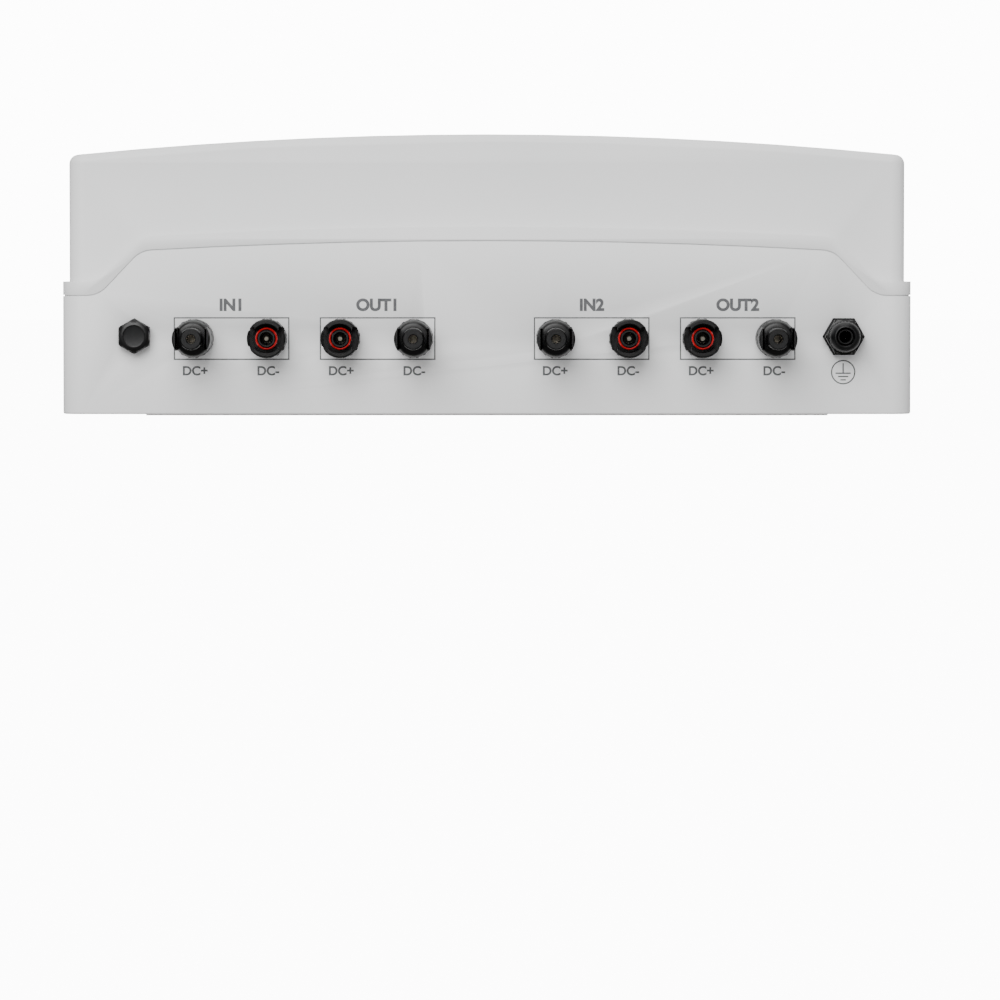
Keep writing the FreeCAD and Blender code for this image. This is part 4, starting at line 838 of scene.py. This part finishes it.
@dataclass
class PanelConnector:
    """One 4 mm panel connector: turned body, grip ribs, and fingers or finger windows.

    Distances are from the wall's outer face, in millimetres. A finger's sections are its height, outer radius
    and inner radius, and the openings are the slots and windows cut in the shell.
    """

    node: str
    kind: PortKind
    x: float
    z: float
    wire: float = 2.5
    screw: float = 5.4
    tail: float = -16.0
    seal: float = 1.0
    flange: float = 9.15
    flange_end: float = 7.1
    neck: float = 6.25
    neck_end: float = 9.5
    ribs: int = 16
    rib_proud: float = 0.22
    rib_wide: float = 1.3
    steps: int = 72
    finger: tuple[tuple[float, float, float], ...] = (
        (21.0, 9.1, 6.9), (34.2, 9.1, 6.9), (34.9, 8.5, 6.9), (35.9, 8.5, 6.9), (36.2, 9.15, 6.7),
        (40.6, 9.15, 6.7), (41.9, 8.3, 7.1))
    finger_half: float = 5.5
    tip_half: float = 5.0
    tip: float = 41.0
    openings: tuple[tuple, ...] = (
        ((-8.6, -5.6, 13.0), (-5.6, 5.6, 25.5)), ((5.6, -5.6, 13.0), (8.6, 5.6, 25.5)),
        ((-12.0, -2.2, 14.5), (-7.0, 2.2, 20.5)), ((7.0, -2.2, 14.5), (12.0, 2.2, 20.5)))

    def stem(self) -> list:
        """The profile that both kinds share, up to the neck."""
        return [(self.wire, self.tail), *thread(self.screw, self.tail, -8.0), (self.screw, -2.0),
                (self.screw, self.seal), (self.flange - 0.5, self.seal), (self.flange, self.seal + 0.5),
                (self.flange, self.flange_end - 0.5), (self.flange - 0.5, self.flange_end),
                (self.neck, self.flange_end), (self.neck, self.neck_end)]

    def build(self, ring: Repeater) -> None:
        """Makes the connector.

        Args:
            ring: The ring-of-bars tree.
        """
        mesh = self.probe(ring) if self.kind is PortKind.PROBE else self.shell(ring)
        mesh.transform(to_cable_side(self.x, self.z))
        dress_mesh(self.node + "_moulding", mesh, BLACK_PA, Body.ENCLOSURE.value, [self.node])

    def add_ribs(self, shape: bmesh.types.BMesh, ring: Repeater, radius: float, low: float,
                 high: float) -> None:
        """Grip ribs round a barrel.

        Args:
            shape: The connector's bmesh.
            ring: The ring-of-bars tree.
            radius: Barrel radius.
            low: Where the ribs start.
            high: Where they end.
        """
        bars = ring.make(BLACK_PA, self.ribs, radius=radius, length=high - low, width=self.rib_wide,
                         height=2 * self.rib_proud)
        turn = Matrix.Rotation(math.pi / self.ribs, 4, "Z")
        add_mesh(shape, bars, Matrix.Translation((0, 0, (low + high) / 2 * MM)) @ turn, 0.12)

    def probe(self, ring: Repeater) -> bpy.types.Mesh:
        """The plug-in kind: barrel, soft shoulder, hollow nose and two barbed fingers."""
        profile = self.stem() + [
            (8.55, 9.5), (9.15, 10.1), (9.15, 20.6), (8.9, 21.2), (8.75, 22.3), (8.45, 23.4), (8.05, 24.4),
            (7.5, 25.1), (7.1, 25.3), (5.25, 25.3), (5.25, 34.4), (4.85, 34.8), (4.85, 35.6), (5.25, 36.0),
            (5.25, 40.9), (5.0, 41.5), (4.5, 41.9), (2.4, 41.9), (2.05, 41.5), (2.05, 40.8),
            (self.wire, 40.8)]
        shape = bmesh.new()
        lathe(shape, profile, self.steps)
        for side in (1, -1):
            self.add_finger(shape, side)
        self.add_ribs(shape, ring, self.flange, 11.2, 19.8)
        return self.shaded(shape)

    def add_finger(self, shape: bmesh.types.BMesh, side: int) -> None:
        """One finger: a curved bar with a sprung gap, a latch step and a chamfered tip.

        Args:
            shape: The connector's bmesh.
            side: 1 towards +X, -1 towards -X.
        """
        rings = []
        for height, outer, inner in self.finger:
            tall = self.finger_half if height < self.tip else self.tip_half
            reach = math.asin(tall / outer)
            points = [(inner, -tall + 0.4), (inner + 0.4, -tall)]
            points += [(outer * math.cos(a), outer * math.sin(a))
                       for a in (reach * (i / 8 - 1) for i in range(17))]
            points += [(inner + 0.4, tall), (inner, tall - 0.4)]
            rings.append([shape.verts.new((side * x * MM, side * y * MM, height * MM)) for x, y in points])
        for a, b in zip(rings, rings[1:]):
            join_rings(shape, a, b)
        shape.faces.new(rings[0][::-1])
        shape.faces.new(rings[-1])

    def shell(self, ring: Repeater) -> bpy.types.Mesh:
        """The receiving kind: an open shell round a tube, with finger slots and side windows."""
        profile = self.stem() + [
            (8.75, 9.5), (9.35, 10.1), (9.35, 23.9), (9.1, 24.5), (8.5, 24.9), (7.3, 24.9), (6.9, 24.5),
            (6.9, 12.0), (4.2, 12.0), (4.2, 23.0), (3.9, 23.4), (3.3, 23.4), (3.0, 23.0), (3.0, 10.0),
            (2.4, 10.0), (2.4, 0), (self.wire, 0)]
        shape = bmesh.new()
        lathe(shape, profile, self.steps)
        bmesh.ops.recalc_face_normals(shape, faces=shape.faces)
        thing = loose_object("shell_work", shape)
        for low, high in self.openings:
            with_block(thing, low, high)
        shape = bmesh.new()
        shape.from_mesh(thing.data)
        bpy.data.objects.remove(thing)
        self.add_ribs(shape, ring, 9.35, 10.9, 13.6)
        return self.shaded(shape)

    @staticmethod
    def shaded(shape: bmesh.types.BMesh) -> bpy.types.Mesh:
        """The bmesh as a shaded mesh with its faces outwards."""
        bmesh.ops.remove_doubles(shape, verts=shape.verts, dist=1e-6)
        bmesh.ops.recalc_face_normals(shape, faces=shape.faces)
        mesh = mesh_of("connector", shape)
        soften(mesh, CONNECTOR_DEG)
        return mesh


@dataclass
class CableSide:
    """Everything on the cable wall: eight connectors, vent plug, gland and print."""

    strings: tuple[str, ...] = ("in_1", "out_1", "in_2", "out_2")
    kinds: tuple[PortKind, ...] = (PortKind.PROBE, PortKind.SHELL, PortKind.SHELL, PortKind.PROBE) * 2
    seal_profile: tuple[tuple[float, float], ...] = (
        (4.22, 20.62), (5.2, 20.62), (5.38, 20.9), (5.38, 21.4), (5.3, 21.95), (5.1, 22.35), (4.85, 22.55),
        (4.6, 22.4), (4.4, 22.0), (4.25, 21.4))

    def build(self, ring: Repeater) -> None:
        """Makes the pieces in order along the wall.

        Args:
            ring: The ring-of-bars tree.
        """
        port_x = []
        for i, kind in enumerate(self.kinds):
            node = f"{self.strings[i // 2]}_{'plus' if i % 2 == 0 else 'minus'}_connector"
            centre = mid(node)
            port_x.append(centre.x / MM)
            PanelConnector(node, kind, centre.x, centre.z).build(ring)
        self.mouth_seals(port_x, mid("connector_mouth_seals").z)
        carry(EPDM, "connector_panel_seals")
        carry(TIN, "pin_contacts", "socket_contacts")
        carry(BLACK_PA, "connector_nuts")
        VentPlug().build()
        CableGland().build(ring)
        PrintedMarks().build(port_x, mid("gland_body").x / MM)

    def mouth_seals(self, port_x: Sequence[float], z: float) -> None:
        """Round-crested silicone rings over the tubes of the receiving connectors.

        Args:
            port_x: X of the eight connectors, in millimetres.
            z: Height of their row, in metres.
        """
        shape = bmesh.new()
        for x, kind in zip(port_x, self.kinds):
            if kind is PortKind.SHELL:
                ring = bmesh.new()
                lathe(ring, list(self.seal_profile), 64)
                absorb(shape, ring, to_cable_side(x * MM, z))
        finish_piece("mouth_seals", shape, SILICONE, Body.ENCLOSURE.value, ["connector_mouth_seals"])


def turned_piece(name: str, shape: bmesh.types.BMesh, move: Matrix, body: Body, node: str) -> None:
    """Dresses a turned black moulding in its place.

    Args:
        name: The piece's name.
        shape: The solid about Z; freed here.
        move: Its place.
        body: The body that it rides on.
        node: The CAD node that it stands for.
    """
    bmesh.ops.recalc_face_normals(shape, faces=shape.faces)
    shape.transform(move)
    finish_piece(name, shape, BLACK_PA, body.value, [node], TURNED_DEG)


@dataclass
class VentPlug:
    """The hexagonal pressure-balance plug."""

    flats: float = 15.0
    steps: int = 96

    def build(self) -> None:
        """Turns the plug against a hexagon and carries its small parts over."""
        centre = mid("vent_plug_body")
        profile = [(0, 8.0), (0, 4.0), (2.5, 4.0), (2.5, -16.0), *thread(5.8, -16.0, -3.0), (5.8, 1.0),
                   (8.5, 1.0), (8.9, 1.4), (8.9, 2.1), (6.9, 2.1), (6.9, 2.9), (8.9, 2.9), (8.9, 5.2),
                   (8.2, 6.4), (7.2, 7.4), (6.2, 7.9), (5.4, 8.0), (5.1, 7.7), (4.7, 7.6)]
        shape = bmesh.new()
        lathe(shape, profile, self.steps, hexagon_of(self.flats))
        move = to_cable_side(centre.x, centre.z) @ Matrix.Rotation(math.radians(30), 4, "Z")
        turned_piece("vent_plug_moulding", shape, move, Body.ENCLOSURE, "vent_plug_body")
        carry(BLACK_PA, "vent_plug_nut")
        carry(EPDM, "vent_plug_seal")
        carry(PTFE, "vent_membrane")


@dataclass
class CableGland:
    """The earth cable's gland: hexagonal body, clamp insert and ribbed dome nut."""

    body_flats: float = 17.7
    dome_flats: float = 16.0
    ribs: int = 30
    steps: int = 96

    def build(self, ring: Repeater) -> None:
        """Makes the body and the dome nut and carries the rest over.

        Args:
            ring: The ring-of-bars tree.
        """
        centre = mid("gland_body")
        move = to_cable_side(centre.x, centre.z)
        shape = bmesh.new()
        lathe(shape, [(4.25, -9.0), *thread(5.8, -9.0, -3.0), (5.8, 1.0), (9.5, 1.0), (10.3, 1.5),
                      (10.3, 4.4), (9.4, 5.0), (5.3, 5.0), *thread(5.3, 5.0, 14.0), (4.25, 14.0)],
              self.steps, hexagon_of(self.body_flats))
        turned_piece("gland_body_moulding", shape, move, Body.ENCLOSURE, "gland_body")
        shape = bmesh.new()
        lathe(shape, [(5.45, 5.6), (8.3, 5.6), (9.3, 6.2), (9.3, 11.6), (8.4, 12.3), (7.7, 12.5), (7.4, 12.9),
                      (7.4, 16.4), (7.25, 17.4), (6.9, 18.4), (6.35, 19.3), (5.6, 20.1), (5.1, 20.45),
                      (4.75, 20.5), (4.4, 20.2), (4.4, 15.0), (5.45, 15.0)],
              self.steps, hexagon_of(self.dome_flats))
        bars = ring.make(BLACK_PA, self.ribs, radius=7.4, length=3.4, width=0.7, height=0.5)
        add_mesh(shape, bars, Matrix.Translation((0, 0, 14.9 * MM)), 0.12)
        turned_piece("gland_dome_moulding", shape, move, Body.GLAND_NUT, "gland_dome_nut")
        eased_copy("gland_clamp_insert", EPDM, Body.GLAND_INSERT.value, 0.3)
        carry(BLACK_PA, "gland_lock_nut")
        carry(EPDM, "gland_panel_seal")


# ---------------------------------------------------------------------------------------------------------
# Door
# ---------------------------------------------------------------------------------------------------------
def arch_line(half: float, side: float, peak: float, steps: int) -> list[tuple[float, float]]:
    """Points of a shallow arch from -half to +half, in millimetres.

    Args:
        half: Half its span.
        side: Height at its ends.
        peak: Height at its middle.
        steps: Chords.

    Returns:
        (x, z) points from left to right.
    """
    rise = peak - side
    radius = (half * half + rise * rise) / (2 * rise)
    low = peak - radius
    return [(x, low + math.sqrt(radius * radius - x * x))
            for x in (half * (2 * i / steps - 1) for i in range(steps + 1))]


@dataclass
class WindowDoor:
    """The smoked cover: an arched sheet with a skirt at each end, hinge bead, catches and hinge notches."""

    half: float = 201.8
    side: float = 127.1
    peak: float = 137.3
    sheet: float = 2.5
    corner: float = 4.5
    foot: float = 114.2
    reach: float = 98.0
    hinge_x: float = 199.6
    hinge_z: float = 116.4
    bead: float = 2.2
    arch_steps: int = 120
    corner_steps: int = 12
    bead_steps: int = 32
    ease: float = 0.3
    catches: tuple[tuple[float, float], ...] = ((-69.4, -57.4), (57.4, 69.4))
    catch_in: float = -196.8
    catch_high: float = 123.8
    notches: tuple[tuple[float, float], ...] = ((69.0, 80.5), (85.6, 88.2), (-80.5, -69.0), (-88.2, -85.6))
    notch_in: float = 194.9
    notch_out: float = 210.0
    notch_low: float = 100.0
    notch_high: float = 119.0
    pin_starts: tuple[float, ...] = (69.4, -87.8)
    pin_long: float = 18.9
    pin_bore: float = 1.05

    def skin(self, half: float, side: float, peak: float, corner: float) -> list[tuple[float, float]]:
        """One skin of the sheet, left foot to right foot: skirt, rounded corner, arch, corner, skirt.

        Args:
            half: Half width.
            side: Arch height at its ends.
            peak: Arch height at its middle.
            corner: Radius of its corners.

        Returns:
            (x, z) points.
        """
        arch = [p for p in arch_line(half, side, peak, self.arch_steps) if abs(p[0]) < half - corner]
        edge = arch[-1]
        turns = []
        for i in range(self.corner_steps + 1):
            angle = math.pi / 2 * (1 - i / self.corner_steps)
            turns.append((half - corner + corner * math.cos(angle),
                          edge[1] - 0.01 - corner + corner * math.sin(angle)))
        left = [(-x, z) for x, z in reversed(turns)]
        return left + arch[1:-1] + turns

    def build(self) -> None:
        """Makes the door and its gaskets."""
        outer = self.skin(self.half, self.side, self.peak, self.corner)
        inner = self.skin(self.half - self.sheet, self.side - self.sheet, self.peak - self.sheet,
                          self.corner - self.sheet)
        meet = math.acos(-(self.sheet - self.bead) / self.bead)
        bead = [(self.hinge_x + self.bead * math.cos(a), self.hinge_z + self.bead * math.sin(a))
                for a in ((meet - math.tau) * i / self.bead_steps for i in range(self.bead_steps + 1))]
        points = [(-self.half, self.foot), *outer, *bead, *reversed(inner),
                  (-self.half + self.sheet, self.foot)]
        shape = bmesh.new()
        ends = [[shape.verts.new((x * MM, y * MM, z * MM)) for x, z in points]
                for y in (-self.reach, self.reach)]
        join_rings(shape, *ends)
        shape.faces.new(ends[0])
        shape.faces.new(ends[1][::-1])
        bmesh.ops.recalc_face_normals(shape, faces=shape.faces)
        thing = loose_object("door_work", shape)
        self.cut_hinge(thing)
        mesh = eased_mesh(thing, self.ease, 40.0, 30.0)
        window = dress_mesh("door_window", mesh, SMOKED_PC, Body.DOOR.value, ["window_door"])
        # The clear sheet lets the soft boxes' light through to the modules.
        window.visible_shadow = False
        eased_copy("door_gaskets", EPDM, Body.DOOR.value, 0.35)

    def cut_hinge(self, thing: bpy.types.Object) -> None:
        """Joins the catches, and cuts the hinge notches and pin bores."""
        for low, high in self.catches:
            with_block(thing, (-self.half + self.sheet - 0.4, low, self.foot),
                       (self.catch_in, high, self.catch_high), "UNION")
        for low, high in self.notches:
            with_block(thing, (self.notch_in, low, self.notch_low), (self.notch_out, high, self.notch_high))
        for low in self.pin_starts:
            tool = bmesh.new()
            bore, long = self.pin_bore, self.pin_long
            lathe(tool, [(0, -0.5), (bore, -0.5), (bore, long), (0, long)], self.bead_steps)
            bmesh.ops.recalc_face_normals(tool, faces=tool.faces)
            tool.transform(Matrix.Translation((self.hinge_x * MM, low * MM, self.hinge_z * MM))
                           @ Matrix.Rotation(math.radians(-90), 4, "X"))
            boolean(thing, tool)


# ---------------------------------------------------------------------------------------------------------
# Deck, modules and what is under the cover
# ---------------------------------------------------------------------------------------------------------
@dataclass
class ModuleBank:
    """The DIN modules: two isolators with levers and two arresters with plug-in cartridges."""

    pole: float = 18.0
    ease: float = 0.3
    groove: float = 0.6
    groove_half: float = 0.25
    groove_low: float = 60.0
    groove_high: float = 107.0
    row_y: float = -41.0
    pivot_z: float = 116.0
    lean_deg: float = -17.0
    lever_ribs: int = 25
    rib_pitch: float = 2.0
    rib_out: float = 6.75
    rib_high: float = 11.8
    tell_half: float = 2.6
    tell_low: tuple[float, float] = (48.5, 123.6)
    tell_high: tuple[float, float] = (53.5, 124.25)
    grip_at: tuple[float, float, float] = (-4.8, 45.0, 128.0)

    def build(self, row: Repeater) -> None:
        """Makes all four modules.

        Args:
            row: The row-of-bars tree.
        """
        for node in ("breaker_1_case", "breaker_2_case", "surge_arrester_1_base", "surge_arrester_2_base"):
            self.case(node)
        for i in (1, 2):
            self.lever(i, row)
            self.cartridges(i, row)
            carry(ZINC, f"breaker_{i}_terminal_screws", f"surge_arrester_{i}_terminal_screws")
            eased_copy(f"din_clip_{i}", CLIP_PA, f"clip_{i}", 0.25)
            eased_copy(f"din_clip_{i + 2}", CLIP_PA, f"clip_{i + 2}", 0.25)

    def case(self, node: str) -> None:
        """A case with the parting grooves between its poles.

        Args:
            node: The CAD node.
        """
        low, high = (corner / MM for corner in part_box(node))
        middle = (low + high) / 2
        thing = loose_object(node + "_work", merged_copy(node))
        tool = bmesh.new()
        for step in (-1, 0, 1):
            x = middle.x + step * self.pole
            for side in (-1, 1):
                flank = middle.y + side * (high.y - low.y) / 2
                inner = flank - side * self.groove
                add_block(tool, (x - self.groove_half, min(flank, inner), self.groove_low),
                          (x + self.groove_half, max(flank + side, inner), self.groove_high))
        boolean(thing, tool)
        mesh = eased_mesh(thing, self.ease, 50.0)
        dress_mesh(node + "_moulding", mesh, CASE_PA, Body.ENCLOSURE.value, [node])

    def lever(self, number: int, row: Repeater) -> None:
        """A lever with grip ribs on both faces of its paddle.

        Args:
            number: 1 or 2.
            row: The row-of-bars tree.
        """
        node = f"breaker_{number}_lever"
        body = f"breaker_{number}_handle"
        eased_copy(node, LEVER_PA, body, 0.5, segments=3)
        pivot = Vector((mid(node).x, self.row_y * MM, self.pivot_z * MM))
        lean = Matrix.Translation(pivot) @ Matrix.Rotation(math.radians(self.lean_deg), 4, "X")
        shape = bmesh.new()
        for side in (-1, 1):
            bars = row.make(LEVER_PA, self.lever_ribs, length=4.2, width=0.7, height=0.9,
                            spacing=self.rib_pitch)
            start = -(self.lever_ribs - 1) * self.rib_pitch / 2
            place = Matrix.Translation((start * MM, side * self.rib_out * MM, self.rib_high * MM))
            add_mesh(shape, bars, lean @ place, 0.15)
        finish_piece(f"{node}_ribs", shape, LEVER_PA, body)

    def cartridges(self, number: int, row: Repeater) -> None:
        """Three cartridges, each with a tell-tale window and finger ribs.

        Args:
            number: 1 or 2.
            row: The row-of-bars tree.
        """
        node = f"surge_arrester_{number}_cartridges"
        eased_copy(node, LEVER_PA, Body.ENCLOSURE.value, 0.3)
        centre = mid(node).x / MM
        windows, ribs = bmesh.new(), bmesh.new()
        for step in (-1, 0, 1):
            x = centre + step * self.pole
            add_block(windows, (x - self.tell_half, *self.tell_low),
                      (x + self.tell_half, *self.tell_high), 0.2)
            bars = row.make(LEVER_PA, 5, length=4.0, width=0.8, height=0.8, spacing=2.4)
            place = Matrix.Translation([(a + b) * MM for a, b in zip((x, 0.0, 0.0), self.grip_at)])
            add_mesh(ribs, bars, place, 0.15)
        finish_piece(f"{node}_windows", windows, LABEL_PET, Body.ENCLOSURE.value)
        finish_piece(f"{node}_ribs", ribs, LEVER_PA, Body.ENCLOSURE.value)


@dataclass
class Deck:
    """The white plate round the modules, and the screws in the recess."""

    def build(self) -> None:
        """Makes the plate and eases its screws."""
        eased_copy("module_faceplate", PLATE_ABS, Body.ENCLOSURE.value, 0.3, segments=3)
        eased_copy("cover_screws", ZINC, Body.ENCLOSURE.value, 0.25)
        eased_copy("faceplate_screws", ZINC, Body.ENCLOSURE.value, 0.2)
        carry(BRASS, "screw_inserts")
        carry(ZINC, "door_hinge_pins")


@dataclass
class Inside:
    """Rails, earth bar and wires under the cover."""

    def build(self) -> None:
        """Gives each its real finish."""
        carry(ZINC, "din_rail_lower", "din_rail_upper", "rail_screws", "earth_bar_screws")
        eased_copy("earth_bar", BRASS, Body.ENCLOSURE.value, 0.3)
        carry(CLIP_PA, "earth_bar_holder")
        carry(WIRE_RED, "input_wires")
        carry(WIRE_BLACK, "output_wires", "link_wires")
        carry(WIRE_EARTH, "earth_wires")


# ---------------------------------------------------------------------------------------------------------
# Studio
# ---------------------------------------------------------------------------------------------------------
@dataclass
class Studio:
    """A pale cove, soft boxes and the camera. Sizes are in metres.

    The surround's strength is fill where it lights and sheen where it is mirrored. A soft box is its name,
    its place, its watts and its side length.
    """

    eye: tuple[float, float, float] = (0.0, -2.9425, 0.071)
    aim: tuple[float, float, float] = (0.0063, -0.1425, -0.0399)
    lens: float = 209.0
    fill: float = 0.85
    sheen: float = 0.16
    cove_floor: float = 5.4
    cove_radius: float = 1.6
    cove_high: float = 5.0
    cove_turns: int = 96
    cove_steps: int = 16
    boxes: tuple[tuple, ...] = (("key", (-0.6, -2.6, 1.6), 120.0, 2.2), ("top", (0.0, 0.0, 2.6), 24.0, 2.0),
                                ("rear", (0.6, 2.2, 1.6), 26.0, 2.0))
    middle: tuple[float, float, float] = (0.0, 0.0, 0.06)

    def build(self) -> None:
        """Sets up stage, light and camera."""
        self.cove()
        for name, place, power, size in self.boxes:
            self.soft_box(name, place, power, size)
        self.daylight()
        self.camera()

    def cove(self) -> None:
        """A round floor that curves up into a backdrop on every side."""
        shape = bmesh.new()
        line = [(self.cove_floor, 0.0)]
        for i in range(1, self.cove_steps + 1):
            angle = math.pi / 2 * i / self.cove_steps
            line.append((self.cove_floor + self.cove_radius * math.sin(angle),
                         self.cove_radius * (1 - math.cos(angle))))
        line.append((line[-1][0], self.cove_high))
        turns = [math.tau * i / self.cove_turns for i in range(self.cove_turns)]
        rows = [[shape.verts.new((out * math.cos(turn), out * math.sin(turn), high)) for turn in turns]
                for out, high in line]
        for low, high in zip(rows, rows[1:]):
            join_rings(shape, low, high)
        shape.faces.new(rows[0])
        mesh = mesh_of("cove", shape)
        mesh.materials.append(material_of(BOARD))
        for polygon in mesh.polygons:
            polygon.use_smooth = True
        cove = linked("cove", mesh)
        cove.visible_diffuse = False
        cove.visible_glossy = False

    @staticmethod
    def stand(name: str, data: bpy.types.ID, place: Sequence[float],
              target: Sequence[float]) -> bpy.types.Object:
        """Stands a light or a camera in its place, looking at a target."""
        thing = linked(name, data)
        thing.location = place
        thing.rotation_euler = (Vector(target) - Vector(place)).to_track_quat("-Z", "Y").to_euler()
        return thing

    def soft_box(self, name: str, place: Sequence[float], power: float, size: float) -> None:
        """A square soft box that looks at the object."""
        light = bpy.data.lights.new(name, "AREA")
        light.energy = power
        light.size = size
        self.stand(name, light, place, self.middle)

    def daylight(self) -> None:
        """An even white surround, dimmer in reflections so that blacks stay deep."""
        world = bpy.data.worlds.new("surround")
        world.use_nodes = True
        tree = world.node_tree
        tree.nodes["Background"].inputs["Color"].default_value = linear("FFFFFF")
        path = add_node(tree, "ShaderNodeLightPath")
        level = add_node(tree, "ShaderNodeMapRange", {"in:To Min": self.fill, "in:To Max": self.sheen},
                         {"Value": path.outputs["Is Glossy Ray"]})
        tree.links.new(level.outputs["Result"], tree.nodes["Background"].inputs["Strength"])
        bpy.context.scene.world = world

    def camera(self) -> None:
        """A long lens on the cable side."""
        lens = bpy.data.cameras.new("camera")
        lens.lens = self.lens
        lens.sensor_width = 36.0
        lens.clip_end = 50.0
        bpy.context.scene.camera = self.stand("camera", lens, self.eye, self.aim)


def main() -> None:
    """Builds the studio, then each sub-assembly in turn."""
    logging.basicConfig(level=logging.INFO, format="%(name)s: %(message)s")
    ring, row = Repeater(Repeat.RING), Repeater(Repeat.ROW)
    Studio().build()
    Housing().build()
    CableSide().build(ring)
    WindowDoor().build()
    Deck().build()
    ModuleBank().build(row)
    Inside().build()


if __name__ == "__main__":
    main()
